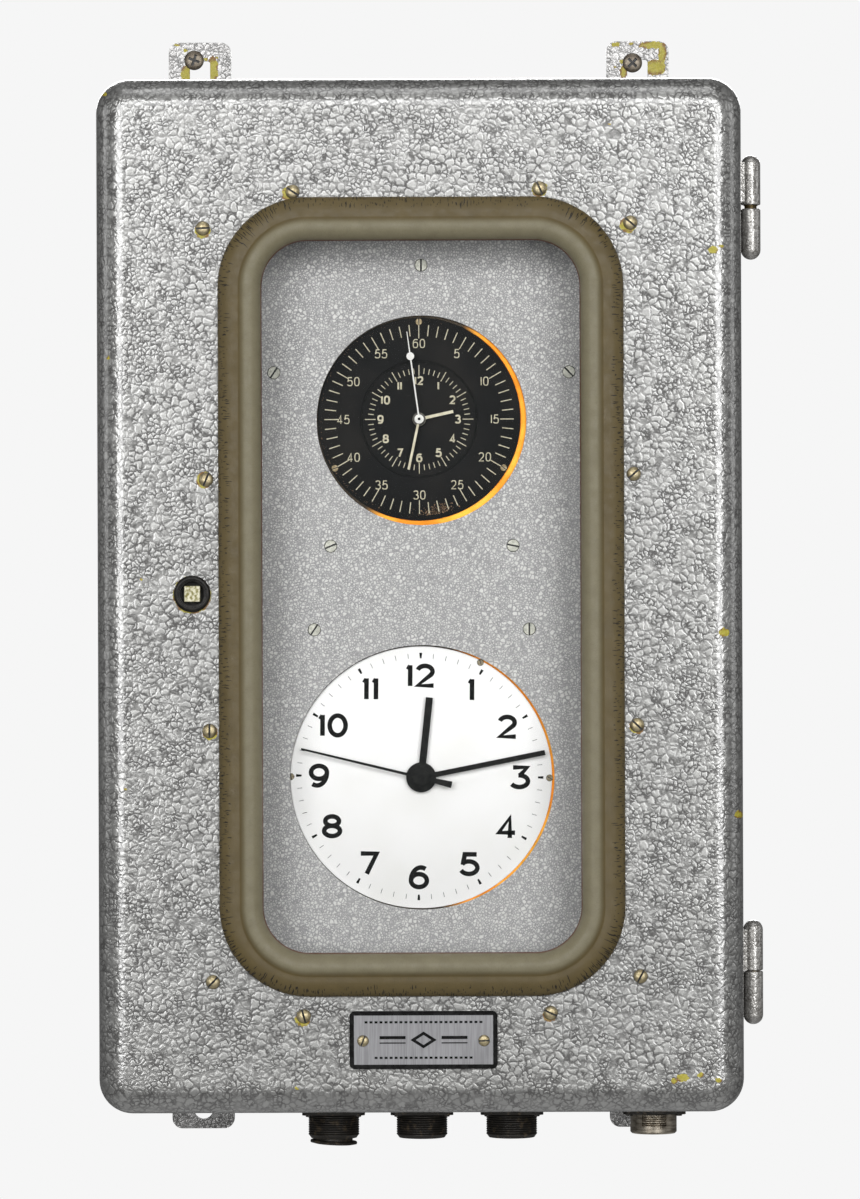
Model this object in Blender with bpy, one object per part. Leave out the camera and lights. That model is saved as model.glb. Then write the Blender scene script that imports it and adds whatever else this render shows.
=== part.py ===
"""Ship's master clock: a wall cabinet with a glazed door, a chronometer dial and a slave dial.

Metres, +Z up, the front faces -Y. The origin lies on the wall plane, behind the cabinet's middle.
Every turning piece has its origin, or its parent empty, on its own axis.
"""
import math

import bmesh
import bpy
from mathutils import Matrix, Vector

MM = 0.001
GAP = 0.3 * MM                      # left between pieces that touch

# Cabinet: outline seen from the front, and depths measured from the wall (towards -Y)
CASE_WIDTH = 324 * MM
CASE_HEIGHT = 519.6 * MM
CASE_CORNER = 17 * MM
SHEET = 2 * MM
CASE_BACK_EDGE = 3 * MM             # rounding round the back
CASE_FLANGE = 14 * MM               # turned-in rim that the door seal sits on
STRAP_THICKNESS = 3 * MM
CASE_BACK = -STRAP_THICKNESS - GAP
CASE_FRONT = -145 * MM
DOOR_REAR = -147 * MM
DOOR_FRONT = -182 * MM
DOOR_EDGE = 14 * MM                 # rounding round the front
SEAL_WIDTH = 10 * MM
SEAL_INSET = 1.5 * MM

# Wall straps
STRAP_X = 116 * MM
STRAP_WIDTH = 33 * MM
STRAP_TOP = 293.7 * MM
STRAP_BOTTOM = -282 * MM
STRAP_CORNER = 5.5 * MM
SLOT_WIDTH = 10.8 * MM
SLOT_BOTTOM = 266 * MM
SLOT_TOP = 284 * MM
SLOT_CORNER = 1.5 * MM
STRAP_HOLE_RADIUS = 5 * MM
STRAP_HOLE_Z = -272 * MM

# Window in the door: one rubber profile holds the pane in the sheet
WINDOW_CENTRE = (0.75 * MM, -0.5 * MM)
GASKET_WIDTH = 203 * MM
GASKET_HEIGHT = 400 * MM
GASKET_CORNER = 45 * MM
GASKET_BAND = 22 * MM               # outer edge to inner edge
SHEET_BITE = 10 * MM                # how far the profile reaches over the sheet
PANE_BITE = 8.5 * MM                # how far the profile reaches over the pane
PANE_THICKNESS = 4 * MM
PANE_FRONT = DOOR_FRONT - 1 * MM
CLAMP_THICKNESS = 2.5 * MM
CLAMP_BITE = 6 * MM
CLAMP_MARGIN = 8 * MM               # screw line to outer edge

# Door screws: four down each side, one pair above and one pair below the window
SCREW_SIDE_X = 107 * MM
SCREW_SIDE_TOP_Z = 185.6 * MM
SCREW_PITCH_Z = 125.73 * MM
SCREW_END_X = 61.8 * MM
SCREW_UPPER_Z = 203.3 * MM
SCREW_LOWER_Z = -209.3 * MM
SCREW_PATTERN_TURN = math.radians(0.58)     # the drilled pattern sits slightly askew
SCREW_PATTERN_SHIFT = (0.8 * MM, -0.4 * MM)
SCREW_HEAD_RADIUS = 3.6 * MM
SCREW_HEAD_HEIGHT = 2.1 * MM
SCREW_SHANK_RADIUS = 1.5 * MM
SCREW_HOLE_RADIUS = 2.1 * MM
SCREW_LENGTH = 9 * MM

# Lock, turned by a square key
LOCK_X = -114 * MM
LOCK_Z = 1.2 * MM
LOCK_RIM_RADIUS = 9.2 * MM
LOCK_NECK_RADIUS = 7.8 * MM
LOCK_RECESS_RADIUS = 6.3 * MM
LOCK_BORE_RADIUS = 4.1 * MM
LOCK_SQUARE = 8 * MM
CAM_LENGTH = 41 * MM
CAM_WIDTH = 9 * MM
CAM_THICKNESS = 3 * MM
CAM_FRONT = 41.1 * MM               # behind the door's face
LOCK_HOUSING_END = 24 * MM
LOCK_BORE_START = 5 * MM
LOCK_NUT_RADIUS = 11.5 * MM
LOCK_NUT_THICKNESS = 4 * MM
CATCH_HEIGHT = 44 * MM
CATCH_THICKNESS = 1.5 * MM

# Hinges: lift-off halves welded to the right side
HINGE_X = 168 * MM
HINGE_Y = -146 * MM
KNUCKLE_RADIUS = 5 * MM
PIN_RADIUS = 3.1 * MM
PIN_BORE_RADIUS = 3.4 * MM
PIN_LENGTH = 16 * MM
LEAF_THICKNESS = 2 * MM
LEAF_DEPTH = 16 * MM
UPPER_HINGE = (169.5 * MM, 195.2 * MM, 197.2 * MM, 222.3 * MM)
LOWER_HINGE = (-217.6 * MM, -190.7 * MM, -190.2 * MM, -164.7 * MM)

# Nameplate
PLATE_CENTRE = (1 * MM, -222.3 * MM)
PLATE_WIDTH = 74 * MM
PLATE_HEIGHT = 29 * MM
PLATE_THICKNESS = 1.2 * MM

# Dial panel and what is fixed behind it
PANEL_FRONT = CASE_FRONT
PANEL_THICKNESS = 2 * MM
PANEL_WIDTH = 200 * MM
PANEL_TOP = 202 * MM
PANEL_BOTTOM = -214 * MM
RING_FRONT = PANEL_FRONT + PANEL_THICKNESS + GAP
RING_FLANGE = 3 * MM
SEAT_DEPTH = 1.1 * MM
DIAL_THICKNESS = 0.8 * MM
PLATE_FRONT = RING_FRONT + 9.2 * MM
MOVEMENT_PLATE = 2 * MM
CAN_WALL = 1.5 * MM

CHRONO_HOLE = (1 * MM, 88.8 * MM, 53.1 * MM)        # x, z and radius in the panel
CHRONO_DIAL = (-0.2 * MM, 89.4 * MM, 51.4 * MM)
CHRONO_FLANGE_RADIUS = 83 * MM
CHRONO_RECESS_RADIUS = 29.8 * MM
SLAVE_HOLE = (0.8 * MM, -92.1 * MM, 67 * MM)
SLAVE_DIAL = (0.2 * MM, -92.1 * MM, 66.4 * MM)
SLAVE_FLANGE_RADIUS = 97 * MM

# What stands behind the panel
UPPER_BRACKET_Z = 200 * MM          # outer face of each bracket's web
LOWER_BRACKET_Z = -212 * MM
BRACKET_DEPTH = 20 * MM
BRACKET_LENGTH = 188 * MM
BOARD_WIDTH = 140 * MM
BOARD_HEIGHT = 180 * MM
BOARD_Z = 70 * MM
BOARD_THICKNESS = 1.6 * MM
BOARD_STANDOFF = 9 * MM
POST_RADIUS = 3 * MM
POST_INSET = 8 * MM
OVEN_SIDE = 50 * MM
OVEN_DEPTH = 28 * MM
OVEN_Z = 100 * MM
BATTERY_SIZE = (36 * MM, 38 * MM, 120 * MM)
BATTERY_CENTRE = (-134 * MM, -160 * MM)
TERMINAL_SIZE = (28 * MM, 26 * MM, 120 * MM)
TERMINAL_CENTRE = (130 * MM, -140 * MM)
MOTOR_RADIUS = 18 * MM
MOTOR_DEPTH = 22 * MM

# Hand layers, each a distance in front of the dial's face
HOUR_LIFT = 2.0 * MM
MINUTE_LIFT = 3.4 * MM
SECONDS_LIFT = 4.8 * MM
HOUR_PIPE = (3.0 * MM, 2.2 * MM)                    # outer and inner radius
MINUTE_PIPE = (2.0 * MM, 1.3 * MM)
SECONDS_ARBOR_RADIUS = 1.1 * MM

# Motion work: cannon pinion to minute wheel 8:24, its pinion to hour wheel 8:32
PINION_TEETH = 8
MINUTE_WHEEL_TEETH = 24
HOUR_WHEEL_TEETH = 32
MINUTE_MODULE = 1.0 * MM
HOUR_MODULE = 0.8 * MM
GEAR_CENTRES = (PINION_TEETH + MINUTE_WHEEL_TEETH) * MINUTE_MODULE / 2
ADDENDUM = 0.7
DEDENDUM = 1.1
TOOTH_TIP = 0.22                    # half widths, as parts of half the tooth pitch
TOOTH_ROOT = 0.62
STUD_RADIUS = 0.9 * MM
STUD_BORE_RADIUS = 1.2 * MM

# Connectors under the case
CONNECTOR_Y = -120 * MM
CONNECTOR_X = (-45 * MM, 0, 45.8 * MM, 118.2 * MM)
CONNECTOR_RADIUS = (12.95 * MM, 12.95 * MM, 12.95 * MM, 11.85 * MM)
CONNECTOR_BOTTOM = (-276.5 * MM, -276.5 * MM, -276.5 * MM, -274.7 * MM)
CONNECTOR_FLANGE = 31.9 * MM
CONNECTOR_FLANGE_THICKNESS = 4 * MM
CONNECTOR_REAR_RADIUS = 10.3 * MM
CONNECTOR_REAR_LENGTH = 18 * MM
CONNECTOR_HOLE_RADIUS = 10.8 * MM
CONNECTOR_WALL = 1.9 * MM
SOCKET_DEPTH = 10 * MM
PLUG_RADIUS = 12 * MM
PLUG_THICKNESS = 2.2 * MM
PLUG_TILT = math.radians(3)


def clear_scene():
    for item in list(bpy.data.objects):
        bpy.data.objects.remove(item, do_unlink=True)


# ---------------------------------------------------------------- outlines

def arc(centre_u, centre_v, radius, start_deg, end_deg, steps):
    points = []
    for step in range(steps + 1):
        angle = math.radians(start_deg + (end_deg - start_deg) * step / steps)
        points.append((centre_u + radius * math.cos(angle), centre_v + radius * math.sin(angle)))
    return points


def circle(centre_u, centre_v, radius, segments):
    return arc(centre_u, centre_v, radius, 0, 360, segments)[:-1]


def rounded_rectangle(width, height, radius, steps=5, centre=(0, 0)):
    """Counter-clockwise from the lower right corner."""
    points = []
    for turn, (side_u, side_v) in enumerate(((1, -1), (1, 1), (-1, 1), (-1, -1))):
        corner_u = centre[0] + side_u * (width / 2 - radius)
        corner_v = centre[1] + side_v * (height / 2 - radius)
        points += arc(corner_u, corner_v, radius, 90 * turn - 90, 90 * turn, steps)
    return points


def square(side):
    half = side / 2
    return [(half, -half), (half, half), (-half, half), (-half, -half)]


def gear(teeth, module, first_tooth_deg):
    """Trapezoid teeth with short tips, which run free at the standard centre distance."""
    pitch_radius = teeth * module / 2
    tip_radius = pitch_radius + ADDENDUM * module
    root_radius = pitch_radius - DEDENDUM * module
    half_pitch = math.pi / teeth
    rising = ((root_radius, -TOOTH_ROOT), (tip_radius, -TOOTH_TIP))
    falling = ((tip_radius, TOOTH_TIP), (root_radius, TOOTH_ROOT))
    points = []
    for tooth in range(teeth):
        middle = math.radians(first_tooth_deg) + 2 * half_pitch * tooth
        for radius, share in rising + falling:
            angle = middle + share * half_pitch
            points.append((radius * math.cos(angle), radius * math.sin(angle)))
    return points


def clock_hand(tail, tip, hub_radius, degrees):
    """Outline of a hand that points to `degrees`, clockwise from 12.

    Tail and tip are lists of (distance from the axis, half width), both from the hub outwards.
    A hand with no tail ends in its hub.
    The sides leave the hub's circle at the half width of the first point.
    """
    tip_join = math.degrees(math.asin(tip[0][1] / hub_radius))
    outline = [(half, along) for along, half in tip]
    outline += [(-half, along) for along, half in reversed(tip)]
    if tail:
        tail_join = math.degrees(math.asin(tail[0][1] / hub_radius))
        outline += arc(0, 0, hub_radius, 90 + tip_join, 270 - tail_join, 6)
        outline += [(-half, -along) for along, half in tail]
        outline += [(half, -along) for along, half in reversed(tail)]
        outline += arc(0, 0, hub_radius, -90 + tail_join, 90 - tip_join, 6)
    else:
        outline += arc(0, 0, hub_radius, 90 + tip_join, 450 - tip_join, 16)
    turn = Matrix.Rotation(-math.radians(degrees), 2)
    return [tuple(turn @ Vector(point)) for point in outline]


# ---------------------------------------------------------------- solids

def add_loop(bm, outline, along, axis="Y"):
    """Vertices of an outline in the plane across `axis`, at `along`."""
    if axis == "Y":
        return [bm.verts.new((u, along, v)) for u, v in outline]
    return [bm.verts.new((u, v, along)) for u, v in outline]


def bridge(bm, first, second):
    for index in range(len(first)):
        after = (index + 1) % len(first)
        bm.faces.new((first[index], first[after], second[after], second[index]))


def fill(bm, loops):
    """Flat face between an outer loop and the loops inside it."""
    edges = []
    for loop in loops:
        for start, end in zip(loop, loop[1:] + loop[:1]):
            edges.append(bm.edges.get((start, end)) or bm.edges.new((start, end)))
    bmesh.ops.triangle_fill(bm, use_beauty=True, use_dissolve=False, edges=edges)


def stack(bm, layers, axis="Y"):
    """One solid made of prisms laid face to face.

    A layer is (outline, holes, start, end). Layers that share an outline or holes share its wall.
    """
    last_outline = None
    last_holes = None
    outer = None
    inner = []
    for outline, holes, start, end in layers:
        first_outer = outer if outline is last_outline else add_loop(bm, outline, start, axis)
        first_inner = inner if holes is last_holes else [add_loop(bm, hole, start, axis) for hole in holes]
        if last_outline is None:
            fill(bm, [first_outer] + first_inner)
        else:
            if outline is not last_outline:
                fill(bm, [outer, first_outer])
            if holes is not last_holes:
                fill(bm, inner + first_inner)
        outer = add_loop(bm, outline, end, axis)
        inner = [add_loop(bm, hole, end, axis) for hole in holes]
        bridge(bm, first_outer, outer)
        for first, last in zip(first_inner, inner):
            bridge(bm, first, last)
        last_outline = outline
        last_holes = holes
    fill(bm, [outer] + inner)


def pan(bm, width, height, corner, section, holes=()):
    """Shell with a flat bottom. The section is (inset, y) from its outer face round to its inner one."""
    loops = []
    for inset, y in section:
        outline = rounded_rectangle(width - 2 * inset, height - 2 * inset, corner - inset)
        loops.append(add_loop(bm, outline, y))
    for first, second in zip(loops, loops[1:]):
        bridge(bm, first, second)
    outer_holes = [add_loop(bm, hole, section[0][1]) for hole in holes]
    inner_holes = [add_loop(bm, hole, section[-1][1]) for hole in holes]
    for first, second in zip(outer_holes, inner_holes):
        bridge(bm, first, second)
    fill(bm, [loops[0]] + outer_holes)
    fill(bm, [loops[-1]] + inner_holes)


def frame_ring(bm, width, height, corner, section, centre=(0, 0), steps=5):
    """Closed section of (inset, y) points swept round a rectangle with round corners."""
    loops = []
    for inset, y in section:
        outline = rounded_rectangle(width - 2 * inset, height - 2 * inset, corner - inset, steps, centre)
        loops.append(add_loop(bm, outline, y))
    for first, second in zip(loops, loops[1:] + loops[:1]):
        bridge(bm, first, second)


def lathe(bm, profile, segments, axis="Y"):
    """Solid turned round the local axis. A profile of (radius, along) that touches the axis is open."""
    rows = []
    for radius, along in profile:
        outline = circle(0, 0, radius, segments) if radius > 0 else [(0, 0)]
        rows.append(add_loop(bm, outline, along, axis))
    on_axis = profile[0][0] == 0
    pairs = zip(rows, rows[1:]) if on_axis else zip(rows, rows[1:] + rows[:1])
    for first, second in pairs:
        if len(first) == len(second):
            bridge(bm, first, second)
            continue
        pole, rim = (first[0], second) if len(first) == 1 else (second[0], first)
        for index in range(segments):
            bm.faces.new((pole, rim[index], rim[(index + 1) % segments]))


def box(bm, low, high):
    outline = [(low[0], low[2]), (high[0], low[2]), (high[0], high[2]), (low[0], high[2])]
    stack(bm, [(outline, (), low[1], high[1])])


# ---------------------------------------------------------------- materials and objects

def material(name, colour, roughness, metallic=0.0, alpha=1.0):
    made = bpy.data.materials.new(name)
    made.use_nodes = True
    shader = made.node_tree.nodes["Principled BSDF"]
    shader.inputs["Base Color"].default_value = (*colour, 1.0)
    shader.inputs["Roughness"].default_value = roughness
    shader.inputs["Metallic"].default_value = metallic
    shader.inputs["Alpha"].default_value = alpha
    made.diffuse_color = (*colour, alpha)
    return made


def make_materials():
    return {
        "hammertone": material("hammertone", (0.42, 0.42, 0.41), 0.35, 0.6),
        "panel": material("panel_hammertone", (0.55, 0.55, 0.54), 0.4, 0.5),
        "steel": material("steel", (0.45, 0.45, 0.44), 0.4, 1.0),
        "rubber": material("olive_rubber", (0.17, 0.15, 0.09), 0.6),
        "seal": material("black_rubber", (0.03, 0.03, 0.03), 0.8),
        "glass": material("window_glass", (0.9, 0.95, 0.95), 0.05, 0.0, 0.2),
        "brass": material("brass", (0.5, 0.4, 0.22), 0.4, 1.0),
        "gilt": material("gilt", (0.8, 0.5, 0.12), 0.3, 1.0),
        "black": material("black_finish", (0.03, 0.03, 0.028), 0.5),
        "nickel": material("nickel", (0.4, 0.37, 0.32), 0.35, 1.0),
        "plate": material("engraved_plate", (0.35, 0.35, 0.35), 0.4, 0.8),
        "black_dial": material("black_dial", (0.02, 0.02, 0.022), 0.6),
        "white_dial": material("white_dial", (0.9, 0.9, 0.9), 0.5),
        "cream": material("cream_hand", (0.8, 0.75, 0.6), 0.5),
        "white": material("white_hand", (0.9, 0.9, 0.9), 0.5),
        "aluminium": material("aluminium", (0.7, 0.7, 0.72), 0.4, 1.0),
        "board": material("circuit_board", (0.05, 0.2, 0.08), 0.5),
        "battery": material("battery_wrap", (0.25, 0.22, 0.08), 0.5),
        "bakelite": material("bakelite", (0.12, 0.06, 0.03), 0.4),
    }


def empty(name, location, parent=None):
    made = bpy.data.objects.new(name, None)
    made.empty_display_size = 0.02
    made.location = location
    made.parent = parent
    bpy.context.scene.collection.objects.link(made)
    return made


def finish(bm, name, look, parent=None, location=(0, 0, 0)):
    """Turn a bmesh into a smooth-shaded object. Its location is in its parent's space."""
    bmesh.ops.recalc_face_normals(bm, faces=bm.faces)
    mesh = bpy.data.meshes.new(name)
    bm.to_mesh(mesh)
    bm.free()
    mesh.materials.append(look)
    mesh.shade_smooth()
    mesh.set_sharp_from_angle(angle=math.radians(35))
    made = bpy.data.objects.new(name, mesh)
    made.location = location
    made.parent = parent
    bpy.context.scene.collection.objects.link(made)
    return made


def carve(target, tools, operation):
    """Cut the tools from the target, or join them to it, and put the result in its mesh."""
    for tool in tools:
        step = target.modifiers.new(tool.name, "BOOLEAN")
        step.operation = operation
        step.object = tool
    bpy.context.view_layer.update()
    graph = bpy.context.evaluated_depsgraph_get()
    result = bpy.data.meshes.new_from_object(target.evaluated_get(graph))
    target.modifiers.clear()
    target.data = result
    result.shade_smooth()
    result.set_sharp_from_angle(angle=math.radians(35))
    for tool in tools:
        bpy.data.objects.remove(tool, do_unlink=True)


def prism(name, outline, holes, start, end, look, parent=None, location=(0, 0, 0), axis="Y"):
    bm = bmesh.new()
    stack(bm, [(outline, tuple(holes), start, end)], axis)
    return finish(bm, name, look, parent, location)


def turned(name, profile, segments, look, parent=None, location=(0, 0, 0), axis="Y"):
    bm = bmesh.new()
    lathe(bm, profile, segments, axis)
    return finish(bm, name, look, parent, location)


def block(name, low, high, look, parent=None):
    bm = bmesh.new()
    box(bm, low, high)
    return finish(bm, name, look, parent)


# ---------------------------------------------------------------- cabinet

def rounding(radius, flat_y, steps, sign):
    """Quarter round from a flat face at `flat_y` to the side, as (inset, y) points."""
    points = []
    for step in range(steps + 1):
        angle = math.pi / 2 * step / steps
        points.append((radius * (1 - math.sin(angle)), flat_y + sign * radius * (1 - math.cos(angle))))
    return points


def make_case(looks, root):
    outer_back = rounding(CASE_BACK_EDGE, CASE_BACK, 2, -1)
    section = outer_back + [
        (0, CASE_FRONT),
        (CASE_FLANGE, CASE_FRONT),
        (CASE_FLANGE, CASE_FRONT + SHEET),
        (SHEET, CASE_FRONT + SHEET),
        (SHEET, CASE_BACK - SHEET - 1 * MM),
        (CASE_BACK_EDGE, CASE_BACK - SHEET),
    ]
    bm = bmesh.new()
    pan(bm, CASE_WIDTH, CASE_HEIGHT, CASE_CORNER, section)
    case = finish(bm, "case_shell", looks["hammertone"], root)
    cutters = []
    for index, x in enumerate(CONNECTOR_X):
        outline = circle(0, 0, CONNECTOR_HOLE_RADIUS, 16)
        low = -CASE_HEIGHT / 2 - 5 * MM
        high = -CASE_HEIGHT / 2 + 5 * MM
        cutter = prism(f"cutter_{index}", outline, (), low, high, looks["steel"], root,
                       (x, CONNECTOR_Y, 0), "Z")
        cutters.append(cutter)
    carve(case, cutters, "DIFFERENCE")


def make_straps(looks, root):
    height = STRAP_TOP - STRAP_BOTTOM
    middle = (STRAP_TOP + STRAP_BOTTOM) / 2
    slot_height = SLOT_TOP - SLOT_BOTTOM
    slot_middle = (SLOT_TOP + SLOT_BOTTOM) / 2
    for name, x in (("strap_left", -STRAP_X), ("strap_right", STRAP_X)):
        outline = rounded_rectangle(STRAP_WIDTH, height, STRAP_CORNER, 3, (0, middle))
        slot = rounded_rectangle(SLOT_WIDTH, slot_height, SLOT_CORNER, 2, (0, slot_middle))
        hole = circle(0, STRAP_HOLE_Z, STRAP_HOLE_RADIUS, 16)
        prism(name, outline, (slot, hole), -STRAP_THICKNESS, 0, looks["hammertone"], root, (x, 0, 0))


def make_seal(looks, root):
    front = DOOR_REAR + GAP
    back = CASE_FRONT - GAP
    section = [
        (SEAL_INSET, back),
        (SEAL_INSET, front),
        (SEAL_INSET + SEAL_WIDTH, front),
        (SEAL_INSET + SEAL_WIDTH, back),
    ]
    bm = bmesh.new()
    frame_ring(bm, CASE_WIDTH, CASE_HEIGHT, CASE_CORNER, section)
    finish(bm, "door_seal", looks["seal"], root)


def make_catch(looks, root):
    """Wear plate behind the rim, which the lock's cam slides onto."""
    flange_back = CASE_FRONT + SHEET + GAP
    left = -CASE_WIDTH / 2 + SHEET + 1 * MM
    right = -CASE_WIDTH / 2 + CASE_FLANGE
    outline = rounded_rectangle(right - left, CATCH_HEIGHT, 2 * MM, 2, ((left + right) / 2, LOCK_Z))
    prism("latch_catch", outline, (), flange_back, flange_back + CATCH_THICKNESS, looks["steel"], root)


def make_brackets(looks, root):
    """Channels from the case's back to the dial panel, above and below the movements."""
    front = PANEL_FRONT + PANEL_THICKNESS + GAP
    back = CASE_BACK - SHEET - GAP
    brackets = (("chassis_bracket_top", UPPER_BRACKET_Z, -1), ("chassis_bracket_bottom", LOWER_BRACKET_Z, 1))
    for name, web, side in brackets:
        lip = web + side * BRACKET_DEPTH
        inner = web + side * SHEET
        profile = [
            (front, web), (back, web), (back, lip), (back - SHEET, lip),
            (back - SHEET, inner), (front + SHEET, inner), (front + SHEET, lip), (front, lip),
        ]
        bm = bmesh.new()
        ends = []
        for x in (-BRACKET_LENGTH / 2, BRACKET_LENGTH / 2):
            ends.append([bm.verts.new((x, y, z)) for y, z in profile])
        bridge(bm, ends[0], ends[1])
        fill(bm, [ends[0]])
        fill(bm, [ends[1]])
        finish(bm, name, looks["steel"], root)


def make_electronics(looks, root):
    back = CASE_BACK - SHEET - GAP
    board_back = back - BOARD_STANDOFF
    board_front = board_back - BOARD_THICKNESS
    outline = rounded_rectangle(BOARD_WIDTH, BOARD_HEIGHT, 4 * MM, 2, (0, BOARD_Z))
    board = prism("circuit_board", outline, (), board_front, board_back, looks["board"], root)
    posts = []
    for index, (side_x, side_z) in enumerate(((-1, -1), (1, -1), (-1, 1), (1, 1))):
        x = side_x * (BOARD_WIDTH / 2 - POST_INSET)
        z = BOARD_Z + side_z * (BOARD_HEIGHT / 2 - POST_INSET)
        post_outline = circle(0, 0, POST_RADIUS, 8)
        post = prism(f"post_{index}", post_outline, (), board_back - BOARD_THICKNESS / 2, back,
                     looks["board"], root, (x, 0, z))
        posts.append(post)
    carve(board, posts, "UNION")
    oven = rounded_rectangle(OVEN_SIDE, OVEN_SIDE, 4 * MM, 3, (0, OVEN_Z))
    prism("oscillator", oven, (), board_front - OVEN_DEPTH, board_front - GAP, looks["aluminium"], root)
    cells = rounded_rectangle(BATTERY_SIZE[0], BATTERY_SIZE[2], 6 * MM, 3, BATTERY_CENTRE)
    prism("battery_pack", cells, (), back - BATTERY_SIZE[1], back, looks["battery"], root)
    rail = rounded_rectangle(TERMINAL_SIZE[0], TERMINAL_SIZE[2], 2 * MM, 2, TERMINAL_CENTRE)
    prism("terminal_block", rail, (), back - TERMINAL_SIZE[1], back, looks["bakelite"], root)


# ---------------------------------------------------------------- connectors

def make_connectors(looks, root):
    """Square-flanged receptacles. The plug of the cable screws on from below."""
    flange_top = -CASE_HEIGHT / 2 - GAP
    flange_bottom = flange_top - CONNECTOR_FLANGE_THICKNESS
    rear_top = flange_top + CONNECTOR_REAR_LENGTH
    names = ("connector_a", "connector_b", "connector_c", "connector_d")
    for name, x, radius, bottom in zip(names, CONNECTOR_X, CONNECTOR_RADIUS, CONNECTOR_BOTTOM):
        flange = rounded_rectangle(CONNECTOR_FLANGE, CONNECTOR_FLANGE, 3 * MM, 2)
        rear = circle(0, 0, CONNECTOR_REAR_RADIUS, 12)
        barrel = circle(0, 0, radius, 20)
        socket = (circle(0, 0, radius - CONNECTOR_WALL, 20),)
        floor = bottom + SOCKET_DEPTH
        layers = [
            (rear, (), rear_top, flange_top),
            (flange, (), flange_top, flange_bottom),
            (barrel, (), flange_bottom, floor),
            (barrel, socket, floor, bottom),
        ]
        look = looks["nickel"] if name == "connector_d" else looks["black"]
        bm = bmesh.new()
        stack(bm, layers, "Z")
        finish(bm, name, look, root, (x, CONNECTOR_Y, 0))


def make_dust_plug(looks, root):
    """Loose cap that hangs a little askew in the first connector's mouth."""
    axis = empty("dust_plug_axis", (CONNECTOR_X[0], CONNECTOR_Y, CONNECTOR_BOTTOM[0] - 1.3 * MM), root)
    spigot = circle(0, 0, CONNECTOR_RADIUS[0] - CONNECTOR_WALL - 1 * MM, 16)
    disc = circle(0, 0, PLUG_RADIUS, 20)
    layers = [
        (spigot, (), 5 * MM, 0),
        (disc, (), 0, -PLUG_THICKNESS),
    ]
    bm = bmesh.new()
    stack(bm, layers, "Z")
    plug = finish(bm, "dust_plug", looks["black"], axis)
    plug.rotation_euler = (0, PLUG_TILT, 0)


# ---------------------------------------------------------------- door

def door_screw_places():
    places = []
    for side in (-1, 1):
        for step in range(4):
            places.append((side * SCREW_SIDE_X, SCREW_SIDE_TOP_Z - step * SCREW_PITCH_Z))
        places.append((side * SCREW_END_X, SCREW_UPPER_Z))
        places.append((side * SCREW_END_X, SCREW_LOWER_Z))
    cosine = math.cos(SCREW_PATTERN_TURN)
    sine = math.sin(SCREW_PATTERN_TURN)
    shift_x, shift_z = SCREW_PATTERN_SHIFT
    return [(shift_x + x * cosine - z * sine, shift_z + x * sine + z * cosine) for x, z in places]


def gasket_outline(inset):
    width = GASKET_WIDTH - 2 * inset
    height = GASKET_HEIGHT - 2 * inset
    return rounded_rectangle(width, height, GASKET_CORNER - inset, 5, WINDOW_CENTRE)


def make_door_shell(looks, door):
    window = gasket_outline(SHEET_BITE)
    lock_hole = circle(LOCK_X, LOCK_Z, LOCK_NECK_RADIUS + GAP, 16)
    screw_holes = [circle(x, z, SCREW_HOLE_RADIUS, 6) for x, z in door_screw_places()]
    outer = rounding(DOOR_EDGE, DOOR_FRONT, 5, 1)
    inner = rounding(DOOR_EDGE - SHEET, DOOR_FRONT + SHEET, 4, 1)
    section = outer + [(0, DOOR_REAR)]
    section += [(SHEET, DOOR_REAR)] + [(inset + SHEET, y) for inset, y in reversed(inner)]
    bm = bmesh.new()
    pan(bm, CASE_WIDTH, CASE_HEIGHT, CASE_CORNER, section, [window, lock_hole] + screw_holes)
    return finish(bm, "door_shell", looks["hammertone"], door)


def make_gasket(looks, door):
    """Rubber profile with one groove for the sheet and one for the pane."""
    sheet_end = SHEET_BITE + GAP
    pane_start = GASKET_BAND - PANE_BITE - GAP
    pane_back = PANE_FRONT + PANE_THICKNESS
    forward = [
        (0, 0.3), (0, 2.4), (1.6, 5.4), (5, 7.2), (9.6, 7.4),
        (11.6, 8.2), (14.6, 9.2), (18, 8.4), (20.8, 5.8), (22, 2.6),
    ]
    section = [(inset * MM, DOOR_FRONT - proud * MM) for inset, proud in forward]
    section += [
        (GASKET_BAND, PANE_FRONT - GAP),
        (pane_start, PANE_FRONT - GAP),
        (pane_start, pane_back + GAP),
        (GASKET_BAND, pane_back + GAP),
        (GASKET_BAND, pane_back + 2.2 * MM),
        (sheet_end + 1 * MM, pane_back + 2.2 * MM),
        (0, DOOR_FRONT + SHEET + 1.6 * MM),
        (0, DOOR_FRONT + SHEET + GAP),
        (sheet_end, DOOR_FRONT + SHEET + GAP),
        (sheet_end, DOOR_FRONT - GAP),
    ]
    bm = bmesh.new()
    frame_ring(bm, GASKET_WIDTH, GASKET_HEIGHT, GASKET_CORNER, section, WINDOW_CENTRE)
    finish(bm, "window_gasket", looks["rubber"], door)
    pane = gasket_outline(GASKET_BAND - PANE_BITE)
    prism("window_pane", pane, (), PANE_FRONT, pane_back, looks["glass"], door)


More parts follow.
